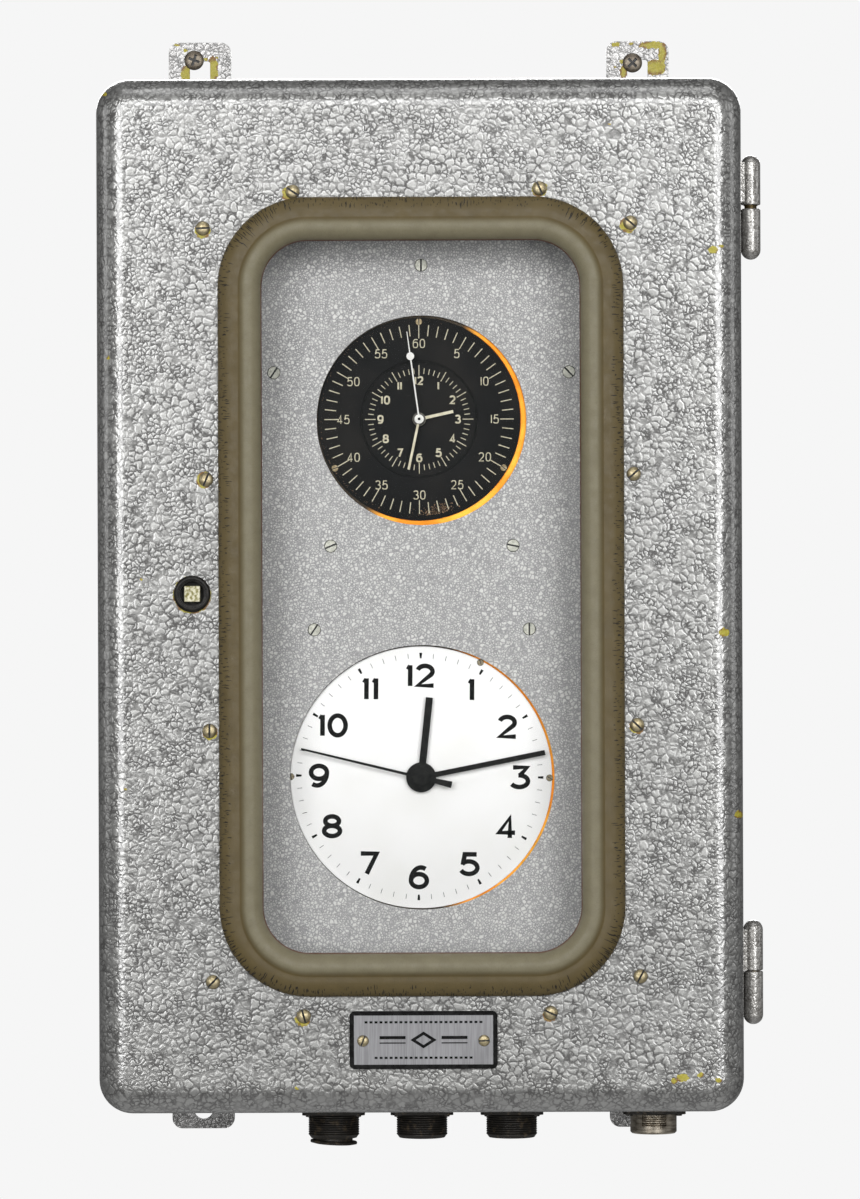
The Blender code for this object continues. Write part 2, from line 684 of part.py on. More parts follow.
def make_clamp_frame(looks, door):
    """Flat frame behind the sheet. It presses on the rubber's back lip and takes the twelve screws."""
    half_width = SCREW_SIDE_X + CLAMP_MARGIN
    top = SCREW_UPPER_Z + CLAMP_MARGIN
    bottom = SCREW_LOWER_Z - CLAMP_MARGIN
    corner = 12 * MM
    notch_radius = 13 * MM
    notch_half = math.degrees(math.acos((-half_width - LOCK_X) / notch_radius))
    outline = arc(half_width - corner, bottom + corner, corner, -90, 0, 3)
    outline += arc(half_width - corner, top - corner, corner, 0, 90, 3)
    outline += arc(corner - half_width, top - corner, corner, 90, 180, 3)
    outline += arc(LOCK_X, LOCK_Z, notch_radius, notch_half, -notch_half, 8)
    outline += arc(corner - half_width, bottom + corner, corner, 180, 270, 3)
    holes = [gasket_outline(CLAMP_BITE)]
    holes += [circle(x, z, SCREW_HOLE_RADIUS, 6) for x, z in door_screw_places()]
    front = DOOR_FRONT + SHEET + 2.8 * MM
    prism("window_clamp_frame", outline, holes, front, front + CLAMP_THICKNESS, looks["steel"], door)


def make_door_screws(looks, door):
    """Round heads with a straight slot, each left at its own angle."""
    head = []
    for step in range(3):
        angle = math.pi / 2 * step / 2
        head.append((SCREW_HEAD_RADIUS * math.sin(angle), -GAP - SCREW_HEAD_HEIGHT * math.cos(angle)))
    profile = head + [
        (SCREW_SHANK_RADIUS, -GAP),
        (SCREW_SHANK_RADIUS, SCREW_LENGTH),
        (0, SCREW_LENGTH),
    ]
    pattern = turned("screw_pattern", profile, 10, looks["brass"])
    low = (-5 * MM, -GAP - SCREW_HEAD_HEIGHT - 1 * MM, -0.5 * MM)
    high = (5 * MM, -GAP - SCREW_HEAD_HEIGHT * 0.5, 0.5 * MM)
    carve(pattern, [block("slot_cutter", low, high, looks["brass"])], "DIFFERENCE")
    mesh = pattern.data
    bpy.data.objects.remove(pattern, do_unlink=True)
    for index, (x, z) in enumerate(door_screw_places()):
        screw = bpy.data.objects.new(f"door_screw_{index + 1:02d}", mesh)
        screw.parent = door
        screw.location = Vector((x, DOOR_FRONT, z)) - door.location
        screw.rotation_euler = (0, math.radians(12 + 47 * index), 0)
        bpy.context.scene.collection.objects.link(screw)


def make_lock(looks, door):
    """Housing clamped in the sheet by a nut, a square spindle, and a cam that reaches behind the rim."""
    axis = empty("lock_axis", Vector((LOCK_X, DOOR_FRONT, LOCK_Z)) - door.location, door)
    profile = [
        (LOCK_RIM_RADIUS, -GAP),
        (LOCK_RIM_RADIUS, -1.4 * MM),
        (LOCK_RIM_RADIUS - 0.6 * MM, -1.9 * MM),
        (LOCK_RECESS_RADIUS + 1 * MM, -2.2 * MM),
        (LOCK_RECESS_RADIUS, -1.6 * MM),
        (LOCK_RECESS_RADIUS, LOCK_BORE_START),
        (LOCK_BORE_RADIUS, LOCK_BORE_START),
        (LOCK_BORE_RADIUS, LOCK_HOUSING_END),
        (LOCK_NECK_RADIUS - 1 * MM, LOCK_HOUSING_END),
        (LOCK_NECK_RADIUS, LOCK_HOUSING_END - 1 * MM),
        (LOCK_NECK_RADIUS, -GAP),
    ]
    turned("lock_housing", profile, 16, looks["black"], axis)
    nut_front = SHEET + GAP
    nut = circle(0, 0, LOCK_NUT_RADIUS, 6)
    bore = circle(0, 0, LOCK_NECK_RADIUS + GAP, 16)
    prism("lock_nut", nut, (bore,), nut_front, nut_front + LOCK_NUT_THICKNESS, looks["steel"], axis)
    cam_back = CAM_FRONT + CAM_THICKNESS
    shaft_start = LOCK_BORE_START - 0.4 * MM
    shaft = circle(0, 0, LOCK_BORE_RADIUS - 0.2 * MM, 16)
    layers = [
        (square(LOCK_SQUARE), (), -1.5 * MM, shaft_start),
        (shaft, (), shaft_start, CAM_FRONT - GAP),
        (square(5.2 * MM), (), CAM_FRONT - GAP, cam_back + 1.5 * MM),
    ]
    bm = bmesh.new()
    stack(bm, layers)
    finish(bm, "lock_spindle", looks["steel"], axis)
    half = CAM_WIDTH / 2
    outline = arc(0, 0, 6.5 * MM, 0, 180, 8)
    outline += [(-half, -10 * MM)] + arc(0, half - CAM_LENGTH, half, 180, 360, 6) + [(half, -10 * MM)]
    prism("lock_cam", outline, (square(5.8 * MM),), CAM_FRONT, cam_back, looks["steel"], axis)


def make_nameplate(looks, door):
    outline = rounded_rectangle(PLATE_WIDTH, PLATE_HEIGHT, 1.5 * MM, 2, PLATE_CENTRE)
    back = DOOR_FRONT - GAP
    prism("nameplate", outline, (), back - PLATE_THICKNESS, back, looks["plate"], door)


def dome(radius, z, sign, steps=3):
    """Profile points from the pole at `z` to the full radius."""
    points = []
    for step in range(steps + 1):
        angle = math.pi / 2 * step / steps
        points.append((radius * math.sin(angle), z - sign * radius * (1 - math.cos(angle))))
    return points


def make_hinge(looks, root, door, where, low, gap_low, gap_high, high):
    """The case half carries the pin, and the door half lifts off it."""
    lower = dome(KNUCKLE_RADIUS, low, -1) + [
        (KNUCKLE_RADIUS, gap_low),
        (PIN_RADIUS, gap_low),
        (PIN_RADIUS, gap_low + PIN_LENGTH - 1 * MM),
        (PIN_RADIUS - 1 * MM, gap_low + PIN_LENGTH),
        (0, gap_low + PIN_LENGTH),
    ]
    upper = dome(KNUCKLE_RADIUS, high, 1) + [
        (KNUCKLE_RADIUS, gap_high),
        (PIN_BORE_RADIUS, gap_high),
        (PIN_BORE_RADIUS, gap_high + PIN_LENGTH + 1 * MM),
        (0, gap_high + PIN_LENGTH + 1 * MM),
    ]
    side = CASE_WIDTH / 2 - HINGE_X + GAP
    case_end = CASE_FRONT + LEAF_DEPTH - HINGE_Y
    door_end = DOOR_REAR - LEAF_DEPTH - HINGE_Y
    halves = (
        (f"hinge_{where}_base", lower, low + 4 * MM, gap_low - 0.5 * MM, 1 * MM, case_end, root),
        (f"hinge_{where}_knuckle", upper, gap_high + 0.5 * MM, high - 4 * MM, -1 * MM, door_end, door),
    )
    for name, profile, bottom, top, near, far, parent in halves:
        centre = Vector((HINGE_X, HINGE_Y, 0))
        knuckle = turned(name, profile, 16, looks["hammertone"], parent, centre - parent.location, "Z")
        outline = [(side, near), (side, far), (side + LEAF_THICKNESS, far),
                   (side + LEAF_THICKNESS, near * 4), (-3.8 * MM, near)]
        bm = bmesh.new()
        stack(bm, [(outline, (), bottom, top)], "Z")
        leaf = finish(bm, "leaf", looks["hammertone"], parent, centre - parent.location)
        carve(knuckle, [leaf], "UNION")


# ---------------------------------------------------------------- dials and movements

def make_panel(looks, root):
    outline = rounded_rectangle(PANEL_WIDTH, PANEL_TOP - PANEL_BOTTOM, 6 * MM, 3,
                                (0, (PANEL_TOP + PANEL_BOTTOM) / 2))
    holes = [circle(*CHRONO_HOLE, 40), circle(*SLAVE_HOLE, 44)]
    prism("dial_panel", outline, holes, PANEL_FRONT, PANEL_FRONT + PANEL_THICKNESS, looks["panel"], root)


def make_movement(prefix, looks, root, hole, dial, flange_radius, can_radius, can_depth, recess):
    """Gilt ring, dial, plate, motor and can. They share the dial's axis, apart from the ring's flange."""
    axis = empty(f"{prefix}_axis", (dial[0], RING_FRONT, dial[1]), root)
    flange = circle(hole[0] - dial[0], hole[1] - dial[1], flange_radius, 32)
    spacer = circle(0, 0, dial[2] + 5 * MM, 32)
    opening = (circle(0, 0, dial[2] + 0.4 * MM, 40),)
    seat = (circle(0, 0, dial[2] - 3 * MM, 32),)
    layers = [
        (flange, opening, 0, SEAT_DEPTH),
        (flange, seat, SEAT_DEPTH, RING_FLANGE),
        (spacer, seat, RING_FLANGE, PLATE_FRONT - RING_FRONT - GAP),
    ]
    bm = bmesh.new()
    stack(bm, layers)
    finish(bm, f"{prefix}_ring", looks["gilt"], axis)

    arbor_hole = HOUR_PIPE[0] + 0.4 * MM
    profile = [(arbor_hole, recess)]
    if recess:
        profile += [(CHRONO_RECESS_RADIUS, recess), (CHRONO_RECESS_RADIUS, 0)]
    profile += [(dial[2], 0), (dial[2], DIAL_THICKNESS), (arbor_hole, DIAL_THICKNESS)]
    face = looks["black_dial"] if prefix == "chrono" else looks["white_dial"]
    turned(f"{prefix}_dial", profile, 40, face, axis)

    plate_front = PLATE_FRONT - RING_FRONT
    plate_back = plate_front + MOVEMENT_PLATE
    plate_outline = circle(0, 0, dial[2] + 5 * MM, 32)
    centre_hole = circle(0, 0, SECONDS_ARBOR_RADIUS + 0.4 * MM, 12)
    plate = prism(f"{prefix}_plate", plate_outline, (centre_hole,), plate_front, plate_back,
                  looks["brass"], axis)
    stud = prism("stud", circle(0, 0, STUD_RADIUS, 12), (), 2.2 * MM, plate_front + 1 * MM, looks["brass"],
                 axis, (0, 0, -GEAR_CENTRES))
    carve(plate, [stud], "UNION")

    motor_front = plate_back + GAP
    motor_profile = [
        (SECONDS_ARBOR_RADIUS + 0.4 * MM, motor_front),
        (MOTOR_RADIUS, motor_front),
        (MOTOR_RADIUS, motor_front + MOTOR_DEPTH),
        (SECONDS_ARBOR_RADIUS + 0.4 * MM, motor_front + MOTOR_DEPTH),
    ]
    turned(f"{prefix}_motor", motor_profile, 16, looks["steel"], axis)
    can_end = motor_front + can_depth
    can_profile = [
        (0, can_end),
        (can_radius - 2 * MM, can_end),
        (can_radius, can_end - 2 * MM),
        (can_radius, motor_front),
        (can_radius - CAN_WALL, motor_front),
        (can_radius - CAN_WALL, can_end - CAN_WALL),
        (0, can_end - CAN_WALL),
    ]
    turned(f"{prefix}_can", can_profile, 24, looks["aluminium"], axis)
    return axis


def make_motion_work(prefix, looks, axis, hour, minute, seconds):
    """Hands on three nested pipes, with the wheels that drive the hour pipe from the minute pipe."""
    hour_outline, hour_thickness, hour_look = hour
    minute_outline, minute_thickness, minute_look = minute
    seconds_outline, seconds_thickness, seconds_look, cap_radius = seconds
    hour_bore = (circle(0, 0, HOUR_PIPE[1], 16),)
    minute_bore = (circle(0, 0, MINUTE_PIPE[1], 12),)

    bm = bmesh.new()
    stack(bm, [
        (hour_outline, hour_bore, -HOUR_LIFT - hour_thickness, -HOUR_LIFT),
        (circle(0, 0, HOUR_PIPE[0], 16), hour_bore, -HOUR_LIFT, 3.4 * MM),
        (gear(HOUR_WHEEL_TEETH, HOUR_MODULE, -90 + 180 / HOUR_WHEEL_TEETH), hour_bore, 3.4 * MM, 5.4 * MM),
    ])
    finish(bm, f"{prefix}_hour_hand", hour_look, axis)

    bm = bmesh.new()
    stack(bm, [
        (minute_outline, minute_bore, -MINUTE_LIFT - minute_thickness, -MINUTE_LIFT),
        (circle(0, 0, MINUTE_PIPE[0], 16), minute_bore, -MINUTE_LIFT, 6.3 * MM),
        (gear(PINION_TEETH, MINUTE_MODULE, -90), minute_bore, 6.3 * MM, 8.7 * MM),
    ])
    finish(bm, f"{prefix}_minute_hand", minute_look, axis)

    front = -SECONDS_LIFT - seconds_thickness
    bm = bmesh.new()
    stack(bm, [
        (circle(0, 0, cap_radius, 12), (), front - 0.8 * MM, front),
        (seconds_outline, (), front, -SECONDS_LIFT),
        (circle(0, 0, SECONDS_ARBOR_RADIUS, 12), (), -SECONDS_LIFT, 20 * MM),
    ])
    finish(bm, f"{prefix}_seconds_hand", seconds_look, axis)

    wheel_axis = empty(f"{prefix}_minute_wheel_axis", (0, 0, -GEAR_CENTRES), axis)
    stud_bore = (circle(0, 0, STUD_BORE_RADIUS, 12),)
    pinion = gear(PINION_TEETH, HOUR_MODULE, 90)
    wheel = gear(MINUTE_WHEEL_TEETH, MINUTE_MODULE, 90 + 180 / MINUTE_WHEEL_TEETH)
    bm = bmesh.new()
    stack(bm, [
        (pinion, stud_bore, 3.2 * MM, 6.5 * MM),
        (wheel, stud_bore, 6.5 * MM, 8.5 * MM),
    ])
    finish(bm, f"{prefix}_minute_wheel", looks["brass"], wheel_axis)


def make_chronometer(looks, root):
    axis = make_movement("chrono", looks, root, CHRONO_HOLE, CHRONO_DIAL, CHRONO_FLANGE_RADIUS,
                         54 * MM, 55 * MM, 0.3 * MM)
    hour = clock_hand([], [(17.7 * MM, 0.75 * MM)], 3.3 * MM, 77.5)
    minute = clock_hand([], [(26.1 * MM, 0.6 * MM)], 2.6 * MM, 192)
    disc_centre = 32.1 * MM
    disc_radius = 2 * MM
    disc = []
    for step in range(1, 6):
        angle = math.pi * step / 6
        disc.append((disc_centre - disc_radius * math.cos(angle), disc_radius * math.sin(angle)))
    tip = [(disc_centre - disc_radius, 0.35 * MM)] + disc
    tip += [(disc_centre + disc_radius, 0.3 * MM), (44.6 * MM, 0.2 * MM)]
    seconds = clock_hand([], tip, 2.3 * MM, -7.8)
    make_motion_work("chrono", looks, axis, (hour, 0.4 * MM, looks["cream"]),
                     (minute, 0.4 * MM, looks["cream"]), (seconds, 0.3 * MM, looks["white"], 1.1 * MM))


def make_slave_clock(looks, root):
    axis = make_movement("slave", looks, root, SLAVE_HOLE, SLAVE_DIAL, SLAVE_FLANGE_RADIUS,
                         46 * MM, 40 * MM, 0)
    hour = clock_hand([], [(40.7 * MM, 1.8 * MM)], 7.5 * MM, 6.1)
    minute = clock_hand([], [(64 * MM, 1.3 * MM)], 7 * MM, 78.8)
    seconds = clock_hand([(8 * MM, 1.3 * MM), (15.9 * MM, 1.7 * MM)],
                         [(8 * MM, 0.7 * MM), (62.5 * MM, 0.5 * MM)], 4.4 * MM, 283.6)
    black = looks["black"]
    make_motion_work("slave", looks, axis, (hour, 0.8 * MM, black), (minute, 0.8 * MM, black),
                     (seconds, 0.5 * MM, black, 1.9 * MM))


def main():
    clear_scene()
    looks = make_materials()
    root = empty("cabinet_origin", (0, 0, 0))
    door = empty("door_hinge_axis", (HINGE_X, HINGE_Y, 0))
    make_case(looks, root)
    make_straps(looks, root)
    make_seal(looks, root)
    make_catch(looks, root)
    make_brackets(looks, root)
    make_electronics(looks, root)
    make_connectors(looks, root)
    make_dust_plug(looks, root)
    make_panel(looks, root)
    make_chronometer(looks, root)
    make_slave_clock(looks, root)

    door_frame = empty("door_frame", -door.location, door)
    make_door_shell(looks, door_frame)
    make_gasket(looks, door_frame)
    make_clamp_frame(looks, door_frame)
    make_nameplate(looks, door_frame)
    make_door_screws(looks, door)
    make_lock(looks, door)
    make_hinge(looks, root, door, "upper", *UPPER_HINGE)
    make_hinge(looks, root, door, "lower", *LOWER_HINGE)


main()
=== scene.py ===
"""Looks of the ship's master clock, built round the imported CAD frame.

Metres, +Z up, the front faces -Y. An outline is a list of (x, z), and a profile one of (radius, along).
"""
import math
import random

import bmesh
import bpy
from mathutils import Matrix, Vector


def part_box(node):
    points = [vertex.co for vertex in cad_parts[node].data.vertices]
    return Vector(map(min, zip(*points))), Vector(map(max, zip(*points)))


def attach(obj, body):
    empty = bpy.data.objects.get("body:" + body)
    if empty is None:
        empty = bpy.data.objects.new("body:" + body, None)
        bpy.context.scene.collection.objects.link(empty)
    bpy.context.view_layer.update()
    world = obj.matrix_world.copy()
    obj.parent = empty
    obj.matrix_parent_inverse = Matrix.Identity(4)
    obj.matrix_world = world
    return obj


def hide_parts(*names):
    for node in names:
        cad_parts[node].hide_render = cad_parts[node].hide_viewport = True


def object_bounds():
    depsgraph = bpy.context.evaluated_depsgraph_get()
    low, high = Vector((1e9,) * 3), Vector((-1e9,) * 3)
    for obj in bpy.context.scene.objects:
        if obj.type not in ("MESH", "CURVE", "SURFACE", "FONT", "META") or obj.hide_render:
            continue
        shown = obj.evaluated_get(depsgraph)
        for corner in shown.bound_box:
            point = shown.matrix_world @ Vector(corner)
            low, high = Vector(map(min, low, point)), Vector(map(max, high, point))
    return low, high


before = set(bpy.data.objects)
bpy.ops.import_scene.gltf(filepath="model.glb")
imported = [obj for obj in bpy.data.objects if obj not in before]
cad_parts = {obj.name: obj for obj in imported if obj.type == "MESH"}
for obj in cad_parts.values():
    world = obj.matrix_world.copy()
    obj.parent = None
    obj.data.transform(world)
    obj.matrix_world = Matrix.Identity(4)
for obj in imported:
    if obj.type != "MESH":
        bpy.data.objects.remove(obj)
CAD_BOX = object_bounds()

MM = 0.001
SHARP = math.radians(35)

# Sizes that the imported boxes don't tell
SHEET = 2 * MM
CASE_CORNER = 17 * MM
CASE_BACK_EDGE = 3 * MM
CASE_FLANGE = 14 * MM
DOOR_EDGE = 14 * MM
GASKET_CORNER = 45 * MM
GASKET_BAND = 22 * MM
SHEET_BITE = 10 * MM
PANE_BITE = 8.5 * MM
STRAP_CORNER = 5.5 * MM
SLOT_WIDTH = 10.8 * MM
SLOT_TOP = 284 * MM
SLOT_BOTTOM = 266 * MM
SLOT_CORNER = 1.5 * MM
STRAP_HOLE_Z = -272 * MM
STRAP_HOLE_RADIUS = 5 * MM
SCREW_HEAD_RADIUS = 3.6 * MM
SLOT_SHARE = 0.26                                   # width of a screw's slot, from its head's radius
LOCK_RIM_RADIUS = 9.2 * MM
LOCK_RECESS_RADIUS = 6.3 * MM
KNUCKLE_RADIUS = 5 * MM
PIN_RADIUS = 3.1 * MM
HINGE_AXIS = (168 * MM, -146 * MM)
CONNECTOR_FLANGE_THICKNESS = 4 * MM
CONNECTOR_WALL = 1.9 * MM
CONNECTOR_CHAMFER = 1.3 * MM
BLACK_BARREL_RADIUS = 12.95 * MM
NICKEL_BARREL_RADIUS = 11.85 * MM
SOCKET_DEPTH = 10 * MM
CONTACT_CIRCLE = 5.5 * MM                           # six contacts stand round the middle one
COLLAR_BAND = 4 * MM
PLUG_TILT = math.radians(3)
CHRONO_HOLE = (1 * MM, 88.8 * MM, 53.1 * MM)        # x, z and radius in the dial panel
SLAVE_HOLE = (0.8 * MM, -92.1 * MM, 67 * MM)
CHRONO_RECESS_RADIUS = 29.8 * MM
SEAT_DEPTH = 1.1 * MM                               # of a dial in its ring
RING_FLANGE = 3 * MM
ARBOR_HOLE = 3.4 * MM
HOURS = [str(hour) for hour in range(1, 13)]
PRINT_HEIGHT = 0.06 * MM                            # paint stands this far proud of a dial
STROKE_STEP = 0.015 * MM                            # each further stroke of a digit lies on the last

# Where paint has come off, as (x, z, half width, half height) in mm
DOOR_CHIPS = (
    (-157, 252.4, 1.2, 1.3), (147.5, 173, 2.6, 1.9), (151.8, 174.8, 1.2, 0.8), (152.5, -18.5, 2.9, 2.2),
    (160, -110, 2.3, 2.0), (131, -241.5, 3.2, 1.9), (127, -243, 1.9, 1.4), (140, -240, 1.8, 1.2),
    (149, -242.5, 1.9, 1.2), (-139, 9, 0.8, 0.7), (-155.5, 120, 0.9, 0.8), (-62, -246, 1.0, 0.7),
    (96, 236, 0.8, 0.6), (-147.5, -96, 0.9, 0.7),
)
SCREW_CHIPS = {                                     # x and z from a door screw and width past its head
    1: (0.3, -0.9, 0.3), 2: (-0.3, 0.1, 0.7), 3: (0.8, -0.5, 0.2), 5: (-0.8, -0.7, 0.6), 6: (0, -1, 0.3),
    7: (-0.8, -0.7, 0.5), 9: (0.2, -0.5, 0.1), 11: (0.3, 0.2, 0.4), 12: (0, -0.5, 0.1),
}
STRAP_CHIPS = {                                     # x from the middle of the strap
    "left": ((7, 279.8, 3.1, 7), (-7, 277.3, 2.7, 5), (-12, 292.8, 1.5, 0.7), (-7.4, 289.8, 1.1, 0.9),
             (3.2, 285.2, 1.2, 0.9), (9.2, 286, 0.7, 0.7)),
    "right": ((8.2, 291.9, 7.6, 1.9), (13.5, 287.3, 2.3, 5.5), (9.5, 280, 6, 4.3), (-7.3, 277.6, 2, 3.6),
              (-11.3, 292.3, 2.4, 1.2), (-2.9, 292.6, 1.4, 0.9), (-11.5, 280.1, 0.9, 0.8),
              (-8.3, 283.3, 0.9, 0.9)),
}
RUST_PATCHES = (        # count, clock angle and its spread, farthest and depth inwards in mm, size in mm
    (150, 168, 4.5, 48.6, 2.0, 0.32), (60, 173, 6, 49, 1.2, 0.2), (70, 235, 30, 50.4, 0.8, 0.16),
    (40, 310, 30, 50.6, 0.7, 0.14),
)

# Camera
CAMERA_PLACE = (5 * MM, -3.182, -2 * MM)
CAMERA_ROLL = math.radians(0.2)
LENS = 180
FLOOR_DROP = 1.5                                    # the clock hangs on a wall, well above the floor


def link(thing):
    bpy.context.scene.collection.objects.link(thing)


def centre(node):
    low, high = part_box(node)
    return (low + high) / 2


def seen_box(node):
    """Middle, width and height of a node's box, seen from the front."""
    low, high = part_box(node)
    return ((low.x + high.x) / 2, (low.z + high.z) / 2), high.x - low.x, high.z - low.z


def colour(red, green, blue):
    """Linear colour from display values of 0 to 255."""
    values = []
    for value in (red, green, blue):
        share = value / 255
        values.append(share / 12.92 if share < 0.04045 else ((share + 0.055) / 1.055) ** 2.4)
    return (*values, 1.0)


SCREW_BRASS = (colour(178, 166, 134), colour(142, 130, 100))
CASE_GREYS = (colour(139, 139, 137), colour(157, 157, 155), colour(80, 79, 78))     # light, pale, vein


# ---------------- outlines

def oval(centre_u, centre_v, radius_u, radius_v, start_deg, end_deg, steps=20, power=1.0):
    """Arc of an ellipse. A power under 1 squares it off."""
    points = []
    for step in range(steps + 1):
        angle = math.radians(start_deg + (end_deg - start_deg) * step / steps)
        across, along = math.cos(angle), math.sin(angle)
        points.append((centre_u + radius_u * math.copysign(abs(across) ** power, across),
                       centre_v + radius_v * math.copysign(abs(along) ** power, along)))
    return points


def circle(centre_u, centre_v, radius, segments):
    return oval(centre_u, centre_v, radius, radius, 0, 360, segments)[:-1]


def rounded_rectangle(width, height, radius, steps=12, middle=(0, 0)):
    """Counter-clockwise from the lower right corner."""
    points = []
    for turn, (side_u, side_v) in enumerate(((1, -1), (1, 1), (-1, 1), (-1, -1))):
        corner_u = middle[0] + side_u * (width / 2 - radius)
        corner_v = middle[1] + side_v * (height / 2 - radius)
        points += oval(corner_u, corner_v, radius, radius, 90 * turn - 90, 90 * turn, steps)
    return points


def rectangle(width, height, middle=(0, 0)):
    return [(middle[0] + su * width / 2, middle[1] + sv * height / 2)
            for su, sv in ((1, -1), (1, 1), (-1, 1), (-1, -1))]


def rounding(radius, flat_y, steps, sign):
    """Quarter round from a flat face at `flat_y` to the side, as (inset, y) points."""
    points = []
    for step in range(steps + 1):
        angle = math.pi / 2 * step / steps
        points.append((radius * (1 - math.sin(angle)), flat_y + sign * radius * (1 - math.cos(angle))))
    return points


def flowing(points, steps):
    """Catmull-Rom curve through the points."""
    ends = [points[0]] + points + [points[-1]]
    curve = []
    for before, start, end, after in zip(ends, ends[1:], ends[2:], ends[3:]):
        for step in range(steps):
            t = step / steps
            curve.append(tuple(
                0.5 * (2 * b + (c - a) * t + (2 * a - 5 * b + 4 * c - d) * t ** 2
                       + (3 * b - a - 3 * c + d) * t ** 3)
                for a, b, c, d in zip(before, start, end, after)))
    return curve + [points[-1]]


# ---------------- solids

def add_loop(bm, outline, along, axis="Y"):
    if axis == "Y":
        return [bm.verts.new((u, along, v)) for u, v in outline]
    return [bm.verts.new((u, v, along)) for u, v in outline]


def bridge(bm, first, second):
    return [bm.faces.new((first[i], first[i - 1], second[i - 1], second[i])) for i in range(len(first))]


def fill(bm, loops):
    edges = []
    for loop in loops:
        for start, end in zip(loop, loop[1:] + loop[:1]):
            edges.append(bm.edges.get((start, end)) or bm.edges.new((start, end)))
    bmesh.ops.triangle_fill(bm, use_beauty=True, use_dissolve=False, edges=edges)


def prism(bm, outline, holes, start, end, axis="Y"):
    ends = []
    for along in (start, end):
        loops = [add_loop(bm, ring, along, axis) for ring in (outline, *holes)]
        fill(bm, loops)
        ends.append(loops)
    for first, second in zip(*ends):
        bridge(bm, first, second)


def lathe(bm, profile, segments, middle=(0, 0), axis="Y"):
    """Turned solid. A profile of (radius, along) that touches the axis at both ends is open."""
    rows = []
    for radius, along in profile:
        outline = circle(*middle, radius, segments) if radius > 0 else [middle]
        rows.append(add_loop(bm, outline, along, axis))
    pairs = list(zip(rows, rows[1:]))
    if profile[0][0] > 0 and profile[-1][0] > 0:
        pairs.append((rows[-1], rows[0]))
    for first, second in pairs:
        if len(first) == len(second):
            bridge(bm, first, second)
            continue
        pole, rim = (first[0], second) if len(first) == 1 else (second[0], first)
        for index in range(segments):
            bm.faces.new((pole, rim[index - 1], rim[index]))


def slab(*shape):
    """New mesh of one prism."""
    bm = bmesh.new()
    prism(bm, *shape)
    return bm


def turned(*shape):
    """New mesh of one turned solid."""
    bm = bmesh.new()
    lathe(bm, *shape)
    return bm


def dome(radius, top, sign, steps=10):
    """Profile from the pole at `top` to the full radius."""
    points = []
    for step in range(steps + 1):
        angle = math.pi / 2 * step / steps
        points.append((radius * math.sin(angle), top - sign * radius * (1 - math.cos(angle))))
    return points


def shell(bm, width, height, corner, section, holes=()):
    """Tray with a flat bottom. The section is (inset, y) from its outer face round to its inner one."""
    loops = []
    for inset, y in section:
        outline = rounded_rectangle(width - 2 * inset, height - 2 * inset, max(corner - inset, 0.4 * MM))
        loops.append(add_loop(bm, outline, y))
    for first, second in zip(loops, loops[1:]):
        bridge(bm, first, second)
    outer_holes = [add_loop(bm, hole, section[0][1]) for hole in holes]
    inner_holes = [add_loop(bm, hole, section[-1][1]) for hole in holes]
    for first, second in zip(outer_holes, inner_holes):
        bridge(bm, first, second)
    fill(bm, [loops[0]] + outer_holes)
    fill(bm, [loops[-1]] + inner_holes)


def add_piece(bm, name, look, body, nodes=(), bevel=0.0, place=None):
    """A smooth-shaded piece that rides on a body and stands for the CAD nodes named."""
    bmesh.ops.recalc_face_normals(bm, faces=bm.faces)
    mesh = bpy.data.meshes.new(name)
    bm.to_mesh(mesh)
    bm.free()
    mesh.materials.append(look)
    mesh.shade_smooth()
    mesh.set_sharp_from_angle(angle=SHARP)
    return add_mesh(mesh, name, body, nodes, bevel, place)


def add_mesh(mesh, name, body, nodes=(), bevel=0.0, place=None):
    piece = bpy.data.objects.new(name, mesh)
    link(piece)
    if place:
        piece.matrix_world = place
    if bevel:
        rounded = piece.modifiers.new("rounded edges", "BEVEL")
        rounded.width = bevel
        rounded.segments = 3
        rounded.angle_limit = math.radians(40)
        rounded.harden_normals = True
    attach(piece, body)
    if nodes:
        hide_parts(*nodes)
    return piece


def carved(bm, cutters, look):
    """Mesh of a solid with other solids cut out of it."""
    shapes = []
    for index, part in enumerate([bm] + cutters):
        bmesh.ops.recalc_face_normals(part, faces=part.faces)
        mesh = bpy.data.meshes.new(f"carving_{index}")
        part.to_mesh(mesh)
        part.free()
        shapes.append(bpy.data.objects.new(mesh.name, mesh))
        link(shapes[-1])
    for cutter in shapes[1:]:
        shapes[0].modifiers.new(cutter.name, "BOOLEAN").object = cutter
    bpy.context.view_layer.update()
    graph = bpy.context.evaluated_depsgraph_get()
    result = bpy.data.meshes.new_from_object(shapes[0].evaluated_get(graph))
    for shape in shapes:
        bpy.data.objects.remove(shape, do_unlink=True)
    result.materials.clear()
    result.materials.append(look)
    result.shade_smooth()
    result.set_sharp_from_angle(angle=SHARP)
    return result


# ---------------- materials

